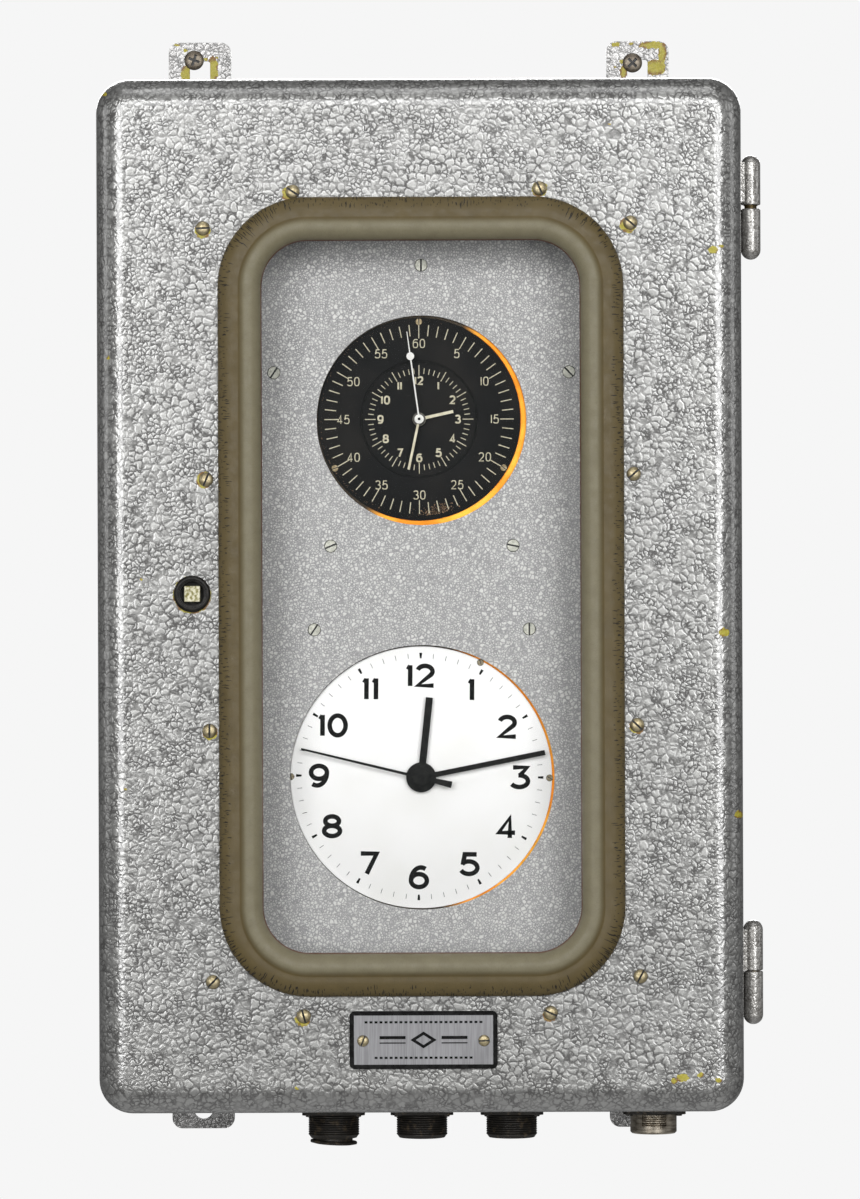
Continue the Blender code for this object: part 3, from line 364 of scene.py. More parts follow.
class Look:
    """A Principled material made of patterns in the object's space."""

    def __init__(self, name, metallic=0.0, roughness=0.5, coordinates="Object", **sockets):
        self.material = bpy.data.materials.new(name)
        self.material.use_nodes = True
        self.tree = self.material.node_tree
        self.shader = self.tree.nodes["Principled BSDF"]
        self.shader.inputs["Metallic"].default_value = metallic
        self.shader.inputs["Roughness"].default_value = roughness
        for socket, value in sockets.items():
            self.shader.inputs[socket.replace("_", " ")].default_value = value
        self.position = self.node("ShaderNodeTexCoord").outputs[coordinates]
        self.normal = None

    def node(self, kind, inputs=(), **settings):
        made = self.tree.nodes.new(kind)
        for name, value in settings.items():
            setattr(made, name, value)
        for key, value in dict(inputs).items():
            self.feed(made.inputs[key], value)
        return made

    def feed(self, socket, value):
        if isinstance(value, bpy.types.NodeSocket):
            self.tree.links.new(value, socket)
        else:
            socket.default_value = value

    def math(self, operation, first, second=0.0):
        return self.node("ShaderNodeMath", {0: first, 1: second}, operation=operation).outputs[0]

    def times(self, first, second):
        return self.math("MULTIPLY", first, second)

    def plus(self, first, second):
        return self.math("ADD", first, second)

    def minus(self, first, second):
        return self.math("SUBTRACT", first, second)

    def vector(self, operation, *values):
        return self.node("ShaderNodeVectorMath", dict(enumerate(values)), operation=operation).outputs[0]

    def measure(self, operation, *values):
        """A vector operation that gives one number."""
        made = self.node("ShaderNodeVectorMath", dict(enumerate(values)), operation=operation)
        return made.outputs["Value"]

    def stretched(self, scale):
        return self.vector("MULTIPLY", self.position, scale)

    def warped(self, scale, amount):
        drift = self.node("ShaderNodeTexNoise", {"Vector": self.position, "Scale": scale}).outputs[1]
        return self.vector("MULTIPLY_ADD", drift, (amount,) * 3, self.position)

    def noise(self, scale, detail=3.0, vector=None):
        inputs = {"Vector": vector or self.position, "Scale": scale, "Detail": detail}
        return self.node("ShaderNodeTexNoise", inputs).outputs[0]

    def cells(self, scale, vector=None, feature="DISTANCE_TO_EDGE"):
        inputs = {"Vector": vector or self.position, "Scale": scale}
        return self.node("ShaderNodeTexVoronoi", inputs, feature=feature)

    def between(self, value, low, high, start=0.0, end=1.0):
        inputs = {0: value, 1: low, 2: high, 3: start, 4: end}
        return self.node("ShaderNodeMapRange", inputs, interpolation_type="SMOOTHSTEP").outputs[0]

    def blend(self, factor, first, second):
        if isinstance(first, tuple) or isinstance(second, tuple) or first.type == "RGBA":
            inputs = {0: factor, 6: first, 7: second}
            return self.node("ShaderNodeMix", inputs, data_type="RGBA").outputs[2]
        return self.node("ShaderNodeMix", {0: factor, 2: first, 3: second}).outputs[0]

    def separate(self, vector):
        return self.node("ShaderNodeSeparateXYZ", {0: vector}).outputs

    def paint(self, value):
        self.colour = value
        self.feed(self.shader.inputs["Base Color"], value)

    def rough(self, value):
        self.feed(self.shader.inputs["Roughness"], value)

    def bump(self, height, distance, strength=1.0):
        inputs = {"Height": height, "Distance": distance, "Strength": strength}
        made = self.node("ShaderNodeBump", inputs)
        if self.normal:
            self.feed(made.inputs["Normal"], self.normal)
        self.normal = made.outputs[0]
        self.feed(self.shader.inputs["Normal"], self.normal)


def mottled(name, first, second, scale, metallic=0.0, roughness=(0.4, 0.55), gloss=0.5):
    """Two close shades in soft patches, with a fine grain."""
    look = Look(name, metallic, Specular_IOR_Level=gloss)
    look.paint(look.blend(look.between(look.noise(scale), 0.35, 0.65), first, second))
    look.rough(look.between(look.noise(scale * 2.3), 0.3, 0.7, *roughness))
    look.bump(look.noise(scale * 9), 0.03 * MM)
    return look.material


def hammertone(name, cell, light, pale, vein, relief, vein_width=0.19, coat=1.0,
               metallic=0.75, faintest=0.4):
    """Hammer finish: flat lumps of leafing paint between thin dark veins."""
    look = Look(name, metallic, Coat_Weight=coat, Coat_Roughness=0.12, Coat_IOR=1.8)
    look.position = look.warped(3.2 / cell, 0.22 * cell)
    place = look.warped(1.1 / cell, 0.75 * cell)
    large = look.cells(1 / cell, place).outputs["Distance"]
    small = look.times(look.cells(1.55 / cell, place).outputs["Distance"], 0.75)
    crowd = look.between(look.noise(0.3 / cell, 2), 0.42, 0.56)
    edge = look.blend(crowd, large, small)
    inside = look.between(edge, 0.05 * vein_width, vein_width)
    depth = look.between(look.noise(0.6 / cell, 3), 0.34, 0.62, faintest, 1.0)
    lump = look.minus(1.0, look.times(look.minus(1.0, inside), depth))
    shade = look.cells(1 / cell, place, "F1").outputs["Color"]
    tint = look.blend(look.separate(shade)[0], light, pale)
    look.paint(look.blend(lump, vein, tint))
    look.rough(look.between(lump, 0.0, 1.0, 0.6, 0.42))
    pillow = look.between(edge, 0.0, 0.3)
    grain = look.times(look.noise(2.4 / cell, 2), 0.3)
    height = look.plus(pillow, grain)
    look.bump(height, relief)
    gloss = look.node("ShaderNodeBump", {"Height": height, "Distance": 0.45 * relief})
    look.feed(look.shader.inputs["Coat Normal"], gloss.outputs[0])
    return look


def specked(look, speck, size):
    """A few specks over the colour the look has so far."""
    specks = look.cells(150, feature="F1")
    small = look.math("LESS_THAN", specks.outputs["Distance"], size)
    few = look.math("GREATER_THAN", look.separate(specks.outputs["Color"])[1], 0.95)
    look.paint(look.blend(look.times(small, few), look.colour, speck))
    return look.material


def peeled(look, spots):
    """Primer and rust where the finish has come off, in ovals of (x, z, half width, half height)."""
    place = look.warped(460, 2.2 * MM)
    place = look.vector("SUBTRACT", place, (1.1 * MM,) * 3)
    near = 9.0
    for x, z, half_x, half_z in spots:
        offset = look.vector("SUBTRACT", place, (x, 0, z))
        offset = look.vector("MULTIPLY", offset, (1 / half_x, 0, 1 / half_z))
        near = look.math("MINIMUM", near, look.measure("LENGTH", offset))
    facing = look.separate(look.node("ShaderNodeTexCoord").outputs["Normal"])[1]
    bare = look.times(look.between(near, 0.95, 1.0, 1.0, 0.0), look.math("LESS_THAN", facing, 0.1))
    primer = look.blend(look.noise(700), colour(140, 130, 26), colour(182, 172, 62))
    rim = look.times(look.between(near, 0.4, 0.9), look.between(look.noise(260), 0.44, 0.56))
    primer = look.blend(rim, primer, colour(118, 82, 28))
    look.paint(look.blend(bare, look.colour, primer))
    look.feed(look.shader.inputs["Metallic"], look.between(bare, 0.0, 1.0, 0.75, 0.0))
    look.feed(look.shader.inputs["Coat Weight"], look.between(bare, 0.0, 1.0, 1.0, 0.0))
    return look


def splits(look, along, across, spacing, crowd):
    """Short cracks across the rubber, at most one in each `spacing` of its length."""
    wander = look.times(look.noise(420, 2), 0.8)
    run = look.plus(look.math("DIVIDE", along, spacing), wander)
    cell = look.math("FLOOR", run)
    dice = look.node("ShaderNodeTexWhiteNoise", {"W": cell}, noise_dimensions="1D")
    chance = look.separate(dice.outputs["Color"])
    place = look.plus(look.times(chance[0], 0.5), 0.25)
    aside = look.math("ABSOLUTE", look.minus(look.math("FRACT", run), place))
    middle = look.times(look.plus(chance[1], 0.12), 8 * MM)
    half = look.plus(look.times(chance[2], 3.2 * MM), 0.4 * MM)
    half = look.times(half, crowd)
    share = look.math("DIVIDE", look.minus(across, middle), half)
    taper = look.minus(1.0, look.times(share, share))
    return look.math("LESS_THAN", aside, look.times(taper, 0.13))


def rubber():
    """Aged olive rubber. U runs along the profile and V across it, both in metres."""
    look = Look("olive_rubber", roughness=0.55, coordinates="UV", Specular_IOR_Level=0.35)
    along, across, _ = look.separate(look.position)
    outer = look.blend(look.noise(90), colour(74, 63, 36), colour(94, 81, 49))
    bead = look.blend(look.noise(140), colour(104, 98, 77), colour(122, 116, 94))
    base = look.blend(look.between(across, 14 * MM, 18 * MM), outer, bead)
    lip = look.times(look.between(across, 27.5 * MM, 29 * MM),
                    look.between(across, 31 * MM, 32 * MM, 1.0, 0.0))
    base = look.blend(lip, base, colour(92, 52, 36))
    x, _, z = look.separate(look.node("ShaderNodeTexCoord").outputs["Object"])
    wide = look.between(look.math("ABSOLUTE", x), 60 * MM, 78 * MM)
    tall = look.between(look.math("ABSOLUTE", z), 155 * MM, 175 * MM)
    crowd = look.plus(look.times(look.times(wide, tall), 0.8), 0.55)
    crowd = look.times(crowd, look.between(look.noise(40, 2), 0.3, 0.6, 0.5, 1.15))
    crack = look.math("MAXIMUM", splits(look, along, across, 1.2 * MM, crowd),
                      splits(look, along, across, 1.9 * MM, crowd))
    craze = look.cells(1.0, look.stretched((900, 420, 1))).outputs["Distance"]
    fine = look.times(look.between(craze, 0.0, 0.06, 1.0, 0.0), 0.16)
    base = look.blend(fine, base, colour(70, 62, 42))
    look.paint(look.blend(crack, base, colour(26, 22, 15)))
    look.rough(look.between(look.noise(200), 0.3, 0.7, 0.42, 0.62))
    look.bump(look.minus(1.0, look.plus(fine, crack)), 0.2 * MM, 0.6)
    look.bump(look.noise(700, 4), 0.05 * MM)
    return look.material


def screw_paint(name, first, second, radius, metallic=0.85, cross=False):
    """Metal of a screw head, with painted shade in its slot and a dark rim that is partly grime and
    partly painted contact shadow.
    """
    look = Look(name)
    x, _, z = (look.math("ABSOLUTE", value) for value in look.separate(look.position))
    half = SLOT_SHARE / 2 * radius * 1.04
    # Painted shade: the slot is coloured near black, as if lying in its own shadow.
    shade_and_grime = look.math("LESS_THAN", z, half)
    if cross:
        shade_and_grime = look.math("MAXIMUM", shade_and_grime, look.math("LESS_THAN", x, half))
        shade_and_grime = look.times(shade_and_grime, look.math("LESS_THAN", look.math("MAXIMUM", x, z), 0.6 * radius))
    away = look.math("SQRT", look.plus(look.times(x, x), look.times(z, z)))
    # Dark rim at the edge of the head: part grime, part painted contact shadow.
    shade_and_grime = look.math("MAXIMUM", shade_and_grime, look.between(away, 0.9 * radius, 0.99 * radius, 0.0, 0.8))
    tone = look.blend(look.between(look.noise(1.6 / radius), 0.35, 0.65), first, second)
    # Near-black colour for the painted shade in the slot and round the rim.
    look.paint(look.blend(shade_and_grime, tone, colour(16, 14, 11)))
    look.feed(look.shader.inputs["Metallic"], look.times(look.minus(1.0, shade_and_grime), metallic))
    look.rough(look.between(look.noise(3.7 / radius), 0.3, 0.7, 0.34, 0.55))
    look.bump(look.noise(14 / radius), 0.03 * MM)
    return look.material


def dial_paint(name, base, patch, speck, speck_size, roughness, gloss=0.5):
    """Flat dial lacquer with soft stains and a few specks."""
    look = Look(name, Specular_IOR_Level=gloss)
    tone = look.blend(look.between(look.noise(35), 0.4, 0.75), base, patch)
    look.paint(tone)
    look.rough(look.between(look.noise(120), 0.3, 0.7, roughness, roughness + 0.1))
    look.bump(look.noise(900, 4), 0.015 * MM)
    return specked(look, speck, speck_size)


def brushed(name, dark, light, direction, roughness=0.3, metallic=0.9):
    look = Look(name, metallic)
    lines = look.noise(1.0, 5, look.stretched(direction))
    look.paint(look.blend(look.between(lines, 0.3, 0.7), dark, light))
    look.rough(look.between(lines, 0.3, 0.7, roughness, roughness + 0.15))
    look.bump(lines, 0.02 * MM)
    return look.material


def clear_glass():
    look = Look("window_glass", roughness=0.04, Alpha=0.03)
    look.paint(look.blend(look.noise(20), colour(60, 70, 66), colour(84, 90, 88)))
    look.rough(look.between(look.noise(60), 0.4, 0.7, 0.03, 0.09))
    look.bump(look.noise(12), 0.02 * MM)
    return look.material


def black_metal():
    """Worn black finish with brown showing through."""
    look = Look("black_finish", metallic=0.4)
    worn = look.between(look.noise(330, 5), 0.55, 0.68)
    look.paint(look.blend(worn, colour(36, 33, 29), colour(78, 68, 54)))
    look.rough(look.between(look.noise(150), 0.3, 0.7, 0.35, 0.6))
    look.bump(look.noise(900, 4), 0.05 * MM)
    return look.material


LOOKS = {
    "hammertone": hammertone("hammertone", 3.5 * MM, *CASE_GREYS, 0.14 * MM).material,
    "panel": specked(hammertone("panel_hammertone", 1.9 * MM, colour(196, 196, 193),
                                colour(205, 205, 202), colour(144, 144, 145), 0.035 * MM,
                                vein_width=0.28, coat=0.1, metallic=0.25, faintest=0.85),
                     colour(34, 60, 42), 0.07),
    "hinge": hammertone("hinge_hammertone", 2.6 * MM, colour(164, 162, 158), colour(188, 186, 182),
                        colour(98, 94, 89), 0.09 * MM, 0.15).material,
    "rubber": rubber(),
    "glass": clear_glass(),
    "black": black_metal(),
    "nickel": brushed("nickel", colour(112, 104, 92), colour(176, 168, 154), (160, 160, 900)),
    "plate": brushed("engraved_plate", colour(118, 118, 120), colour(138, 138, 140), (1800, 100, 60),
                     0.38),
    "aluminium": brushed("aluminium", colour(168, 168, 170), colour(198, 198, 200), (90, 90, 700)),
    "black_dial": dial_paint("black_dial", colour(27, 27, 28), colour(38, 36, 35), colour(40, 74, 52),
                             0.075, 0.5, 0.05),
    "white_dial": dial_paint("white_dial", colour(249, 249, 248), colour(244, 244, 241),
                             colour(60, 60, 56), 0.07, 0.35),
}
MOTTLED = {             # name: two shades, scale of the patches, metallic, roughness, specular level
    "steel": ((150, 150, 148), (122, 121, 118), 60, 0.9),
    "black_rubber": ((24, 24, 24), (38, 37, 35), 90, 0.0, (0.7, 0.9)),
    "brass": ((186, 166, 122), (138, 120, 84), 420, 0.85, (0.3, 0.5)),
    "dark_brass": ((88, 74, 44), (60, 50, 32), 300, 0.8, (0.35, 0.5)),
    "cream_paint": ((222, 216, 190), (200, 192, 164), 300),
    "white_paint": ((240, 240, 236), (226, 226, 220), 300),
    "tick_paint": ((212, 206, 182), (186, 180, 154), 700, 0.0, (0.4, 0.55), 0.2),
    "black_paint": ((16, 16, 16), (30, 30, 30), 400, 0.0, (0.5, 0.65), 0.05),
    "hand_black": ((22, 22, 22), (34, 34, 33), 300, 0.0, (0.45, 0.6), 0.08),
    "lock_black": ((17, 16, 15), (34, 32, 29), 500, 0.1, (0.3, 0.5), 0.2),
    "rust": ((140, 112, 84), (104, 80, 58), 900, 0.0, (0.7, 0.9)),
    # Painted shade: dark grey that stands for the shade round the white seconds boss.
    "shaded_boss_metal": ((98, 95, 88), (76, 73, 68), 500, 0.3, (0.4, 0.6)),
    "worn_square": ((112, 106, 44), (206, 202, 178), 620, 0.2, (0.4, 0.6)),
    "circuit_board": ((34, 92, 52), (26, 76, 44), 80, 0.0, (0.3, 0.4)),
    "battery_wrap": ((120, 112, 62), (98, 92, 50), 40, 0.0, (0.3, 0.45)),
    "bakelite": ((66, 40, 26), (50, 30, 20), 120, 0.0, (0.25, 0.4)),
}
for look_name, (first_shade, second_shade, *rest) in MOTTLED.items():
    LOOKS[look_name] = mottled(look_name, colour(*first_shade), colour(*second_shade), *rest)


# ---------------- screws

def screw_head(radius, height, name, first, second, flat=False, cross=False):
    """Mesh of a slotted or crossed head. Its underside is at y = 0 and it faces -Y."""
    if flat:
        edge = 0.12 * radius
        profile = [(0, -height), (radius - edge, -height), (radius, edge - height), (radius, 0), (0, 0)]
    else:
        profile = [(away, -height * math.sqrt(max(0, 1 - (away / radius) ** 2.6)))
                   for away, _ in dome(radius, 0, -1)] + [(0, 0)]
    length = 1.15 * radius if cross else 3 * radius
    cutters = []
    for turn in (0, math.pi / 2) if cross else (0,):
        cutters.append(slab(rectangle(length, SLOT_SHARE * radius), (), -2 * height, -0.2 * height))
        cutters[-1].transform(Matrix.Rotation(turn, 4, "Y"))
    return carved(turned(profile, 40), cutters, screw_paint(name, first, second, radius, cross=cross))


def place_screw(mesh, name, spot, degrees, body, nodes=()):
    place = Matrix.Translation(spot) @ Matrix.Rotation(math.radians(degrees), 4, "Y")
    return add_mesh(mesh, name, body, nodes, place=place)


# ---------------- cabinet

def make_case():
    low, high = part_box("case_shell")
    width, height = high.x - low.x, high.z - low.z
    back = high.y
    soft = 0.4 * MM
    section = [(CASE_BACK_EDGE + soft, back)] + rounding(CASE_BACK_EDGE, back, 6, -1)
    section += [(0, low.y + soft), (soft, low.y), (CASE_FLANGE, low.y), (CASE_FLANGE, low.y + SHEET),
                (SHEET, low.y + SHEET), (SHEET, back - SHEET - 1 * MM), (CASE_BACK_EDGE, back - SHEET)]
    bm = bmesh.new()
    shell(bm, width, height, CASE_CORNER, section)
    add_piece(bm, "case_body", LOOKS["hammertone"], "cabinet", ["case_shell"])


def make_straps():
    for side in ("left", "right"):
        node = f"strap_{side}"
        low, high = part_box(node)
        (x, z), width, height = seen_box(node)
        slot_middle = (x, (SLOT_TOP + SLOT_BOTTOM) / 2)
        slot = rounded_rectangle(SLOT_WIDTH, SLOT_TOP - SLOT_BOTTOM, SLOT_CORNER, 6, slot_middle)
        hole = circle(x, STRAP_HOLE_Z, STRAP_HOLE_RADIUS, 32)
        outline = rounded_rectangle(width, height, STRAP_CORNER, 8, (x, z))
        look = hammertone(f"{node}_paint", 2.8 * MM, colour(144, 143, 142), colour(166, 165, 164),
                          colour(92, 91, 90), 0.08 * MM)
        chips = [(x + chip[0] * MM, *(value * MM for value in chip[1:])) for chip in STRAP_CHIPS[side]]
        add_piece(slab(outline, (slot, hole), low.y, high.y), f"wall_{node}",
                  peeled(look, chips).material, "cabinet", [node], bevel=0.45 * MM)
    head = screw_head(5.2 * MM, 1.6 * MM, "wall_screw_metal", colour(98, 90, 80), colour(124, 116, 104),
                      cross=True)
    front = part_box("strap_left")[0].y
    for side, x, z, degrees in (("left", -119.1, 284.3, 20), ("right", 113.3, 282.2, 45)):
        place_screw(head, f"wall_screw_{side}", (x * MM, front, z * MM), degrees, "cabinet")


def threaded(radius, low, high, pitch, depth):
    """Outer profile of a fine thread, as rings from `low` to `high`."""
    turns = round((high - low) / pitch)
    step = (high - low) / turns
    profile = []
    for turn in range(turns):
        start = low + turn * step
        profile += [(radius - depth, start), (radius, start + 0.35 * step),
                    (radius, start + 0.65 * step)]
    return profile + [(radius - depth, high)]


def make_connector(letter, dark):
    node = f"connector_{letter}"
    low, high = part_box(node)
    middle = tuple(centre(node).xy)
    side = high.x - low.x
    flange_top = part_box("case_shell")[0].z - 0.3 * MM
    flange_bottom = flange_top - CONNECTOR_FLANGE_THICKNESS
    radius = BLACK_BARREL_RADIUS if dark else NICKEL_BARREL_RADIUS
    flange = slab(rounded_rectangle(side, side, 3 * MM, 6, middle), (), flange_top, flange_bottom, "Z")
    add_piece(flange, f"{node}_flange", LOOKS["black"], "cabinet", [node], bevel=0.4 * MM)

    inner = radius - CONNECTOR_WALL
    thread_radius = radius if dark else radius - 0.5 * MM
    profile = [(0, low.z + SOCKET_DEPTH), (inner, low.z + SOCKET_DEPTH), (inner, low.z + 0.5 * MM),
               (inner + 0.5 * MM, low.z), (radius - CONNECTOR_CHAMFER, low.z)]
    profile += threaded(thread_radius, low.z + CONNECTOR_CHAMFER, flange_bottom - 0.6 * MM,
                        1.15 * MM, 0.42 * MM)
    profile += [(thread_radius - 0.8 * MM, flange_bottom), (10.3 * MM, flange_top),
                (10.3 * MM, high.z), (0, high.z)]
    add_piece(turned(profile, 72, middle, "Z"), f"{node}_barrel", LOOKS["black" if dark else "nickel"],
              "cabinet")

    top = low.z + SOCKET_DEPTH + 1 * MM
    pin = [(0, low.z + 2.2 * MM), (0.5 * MM, low.z + 2.4 * MM), (0.8 * MM, low.z + 3 * MM),
           (0.8 * MM, top), (0, top)]
    bm = bmesh.new()
    for x, y in [middle] + circle(*middle, CONTACT_CIRCLE, 6):
        lathe(bm, pin, 16, (x, y), "Z")
    add_piece(bm, f"{node}_pins", LOOKS["brass"], "cabinet")

    head = screw_head(1.7 * MM, 0.9 * MM, f"{node}_screw_metal", colour(70, 66, 60), colour(96, 90, 82),
                      flat=True)
    for index, (side_x, side_y) in enumerate(((1, 1), (1, -1), (-1, 1), (-1, -1))):
        spot = (middle[0] + side_x * 12.4 * MM, middle[1] + side_y * 12.4 * MM, flange_bottom)
        place = Matrix.Translation(spot) @ Matrix.Rotation(math.radians(90), 4, "X")
        place = place @ Matrix.Rotation(math.radians(37 * index), 4, "Y")
        add_mesh(head, f"{node}_screw_{index + 1}", "cabinet", place=place)
    return middle, low.z, radius, flange_bottom


def make_collar(middle, bottom, outer, top):
    """Plated sleeve round the last connector, with a window that shows its thread."""
    gap = math.degrees(math.asin(6.2 * MM / outer))
    inner = outer - 0.45 * MM
    wall = oval(*middle, outer, outer, -90 + gap, 270 - gap, 60)
    wall += reversed(oval(*middle, inner, inner, -90 + gap, 270 - gap, 60))
    bm = slab(wall, (), bottom + COLLAR_BAND, top, "Z")
    lathe(bm, [(outer, bottom + COLLAR_BAND), (outer, bottom + 0.8 * MM), (outer - 0.8 * MM, bottom),
               (inner - 0.6 * MM, bottom), (inner - 0.6 * MM, bottom + COLLAR_BAND)], 72, middle, "Z")
    add_piece(bm, "connector_d_collar", LOOKS["nickel"], "cabinet")


def make_connectors():
    for letter in "abc":
        make_connector(letter, True)
    make_collar(*make_connector("d", False))


def make_dust_plug():
    profile = ((0, 5), (9, 5), (9.6, 4.4), (9.6, 0.1), (10.8, 0), (11.7, -0.2), (12, -0.7), (11.8, -1.5),
               (9.6, -2), (5, -2.2), (0, -2.2))
    cap = turned([(radius * MM, along * MM) for radius, along in profile], 64, (0, 0), "Z")
    x, y = centre("dust_plug").xy
    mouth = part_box("connector_a")[0].z - CONNECTOR_CHAMFER
    place = Matrix.Translation((x, y, mouth)) @ Matrix.Rotation(PLUG_TILT, 4, "Y")
    add_piece(cap, "dust_cap", LOOKS["black"], "dust_plug", ["dust_plug"], place=place)


# ---------------- door

def window_outline(inset, steps=24):
    middle, width, height = seen_box("window_gasket")
    return rounded_rectangle(width - 2 * inset, height - 2 * inset, GASKET_CORNER - inset, steps, middle)


def make_door():
    low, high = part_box("door_shell")
    soft = 0.5 * MM
    lock = centre("lock_housing")
    holes = [window_outline(SHEET_BITE), circle(lock.x, lock.z, 8 * MM, 40)]
    inner = rounding(DOOR_EDGE - SHEET, low.y + SHEET, 8, 1)
    section = [(DOOR_EDGE + soft, low.y)] + rounding(DOOR_EDGE, low.y, 16, 1)
    section += [(0, high.y - soft), (soft, high.y), (SHEET, high.y)]
    section += [(inset + SHEET, y) for inset, y in reversed(inner)]
    section.append((DOOR_EDGE + soft, low.y + SHEET))
    bm = bmesh.new()
    shell(bm, high.x - low.x, high.z - low.z, CASE_CORNER, section, holes)
    chips = [tuple(value * MM for value in chip) for chip in DOOR_CHIPS]
    for index, (x, z, spread) in SCREW_CHIPS.items():
        spot = centre(f"door_screw_{index:02d}")
        reach = SCREW_HEAD_RADIUS + spread * MM
        chips.append((spot.x + x * MM, spot.z + z * MM, reach, reach))
    reach = LOCK_RIM_RADIUS + 0.5 * MM
    chips.append((lock.x + 0.25 * MM, lock.z - 0.1 * MM, reach, reach))
    look = hammertone("door_paint", 3.8 * MM, *CASE_GREYS, 0.14 * MM)
    add_piece(bm, "door_skin", peeled(look, chips).material, "door", ["door_shell"])


def distances(points):
    """How far along a line of points each one lies."""
    runs = [0.0]
    for first, second in zip(points, points[1:]):
        runs.append(runs[-1] + math.dist(first, second))
    return runs


def make_gasket():
    """One rubber profile round the window, with a flat outer band and a round inner bead."""
    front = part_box("door_shell")[0].y
    low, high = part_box("window_gasket")
    back = high.y
    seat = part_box("window_pane")[0].y - 0.3 * MM
    proud = (front - low.y) / MM
    crown = [(0, 0.3), (0, 1.6), (0.5, 2.9), (1.8, 4.6), (4.2, 6.1), (7, 6.9), (9.4, 7.0), (10.3, 7.1),
             (11.4, 7.8), (12.9, 8.8), (14.8, proud), (17.2, 8.8), (19.3, 7.4), (21, 5.2), (22, 2.6)]
    section = [(inset * MM, front - rise * MM) for inset, rise in flowing(crown, 4)]
    section += [(GASKET_BAND, seat), (GASKET_BAND - PANE_BITE, seat),
                (SHEET_BITE + 2 * MM, back), (1 * MM, front + SHEET + 1.4 * MM),
                (0.5 * MM, front + SHEET + 0.3 * MM), (SHEET_BITE, front + SHEET), (SHEET_BITE, front)]
    runs = distances(section)
    runs.append(runs[-1] + 3 * MM)
    outline = window_outline(GASKET_BAND / 2)
    along = distances(outline[-1:] + outline)

    bm = bmesh.new()
    uv = bm.loops.layers.uv.new("profile")
    rows = []
    for inset, y in section:
        ring = window_outline(inset)
        rows.append(add_loop(bm, ring[-1:] + ring[:-1], y))
    for row, (first, second) in enumerate(zip(rows, rows[1:] + rows[:1])):
        for index in range(len(first)):
            after = (index + 1) % len(first)
            face = bm.faces.new((first[index], first[after], second[after], second[index]))
            corners = ((along[index], runs[row]), (along[index + 1], runs[row]),
                       (along[index + 1], runs[row + 1]), (along[index], runs[row + 1]))
            for loop, corner in zip(face.loops, corners):
                loop[uv].uv = corner
    add_piece(bm, "window_rubber", LOOKS["rubber"], "door", ["window_gasket"])


def make_door_screws():
    """Domed brass heads. Their slots rest as the last hand left them."""
    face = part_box("door_shell")[0].y - 0.1 * MM
    head = screw_head(SCREW_HEAD_RADIUS, 2.1 * MM, "door_screw_metal", *SCREW_BRASS)
    angles = (-2, -67, -90, -46, 34, 75, 40, -41, 43, -62, 66, 25)
    for number, degrees in enumerate(angles, 1):
        node = f"door_screw_{number:02d}"
        spot = centre(node)
        place_screw(head, f"door_screw_head_{number:02d}", (spot.x, face, spot.z), degrees, "door",
                    [node])


def make_lock():
    low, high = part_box("lock_housing")
    spot = seen_box("lock_housing")[0]
    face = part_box("door_shell")[0].y
    front = low.y
    rim, recess, square = LOCK_RIM_RADIUS, LOCK_RECESS_RADIUS, 8 * MM
    profile = [(rim, face), (rim, face - 1.2 * MM), (rim - 0.5 * MM, face - 1.8 * MM),
               (rim - 1 * MM, front + 0.1 * MM), (recess + 1.1 * MM, front),
               (recess + 0.7 * MM, front + 0.2 * MM), (recess + 0.6 * MM, front + 0.9 * MM),
               (recess, front + 1 * MM), (recess, face + 3 * MM), (recess - 0.9 * MM, face + 3.2 * MM),
               (recess - 0.9 * MM, face + 5 * MM), (4.1 * MM, face + 5 * MM), (4.1 * MM, high.y),
               (7.6 * MM, high.y), (7.6 * MM, face)]
    add_piece(turned(profile, 80, spot), "lock_escutcheon", LOOKS["lock_black"], "door",
              ["lock_housing"])

    low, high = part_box("lock_spindle")
    shoulder = face + 4.6 * MM
    bm = slab(rectangle(square, square, spot), (), low.y, shoulder)
    lathe(bm, [(0, shoulder), (3.9 * MM, shoulder), (3.9 * MM, high.y - 4 * MM),
               (2.8 * MM, high.y - 3.6 * MM), (2.8 * MM, high.y), (0, high.y)], 32, spot)
    add_piece(bm, "lock_square", LOOKS["worn_square"], "lock", ["lock_spindle"], bevel=0.5 * MM)


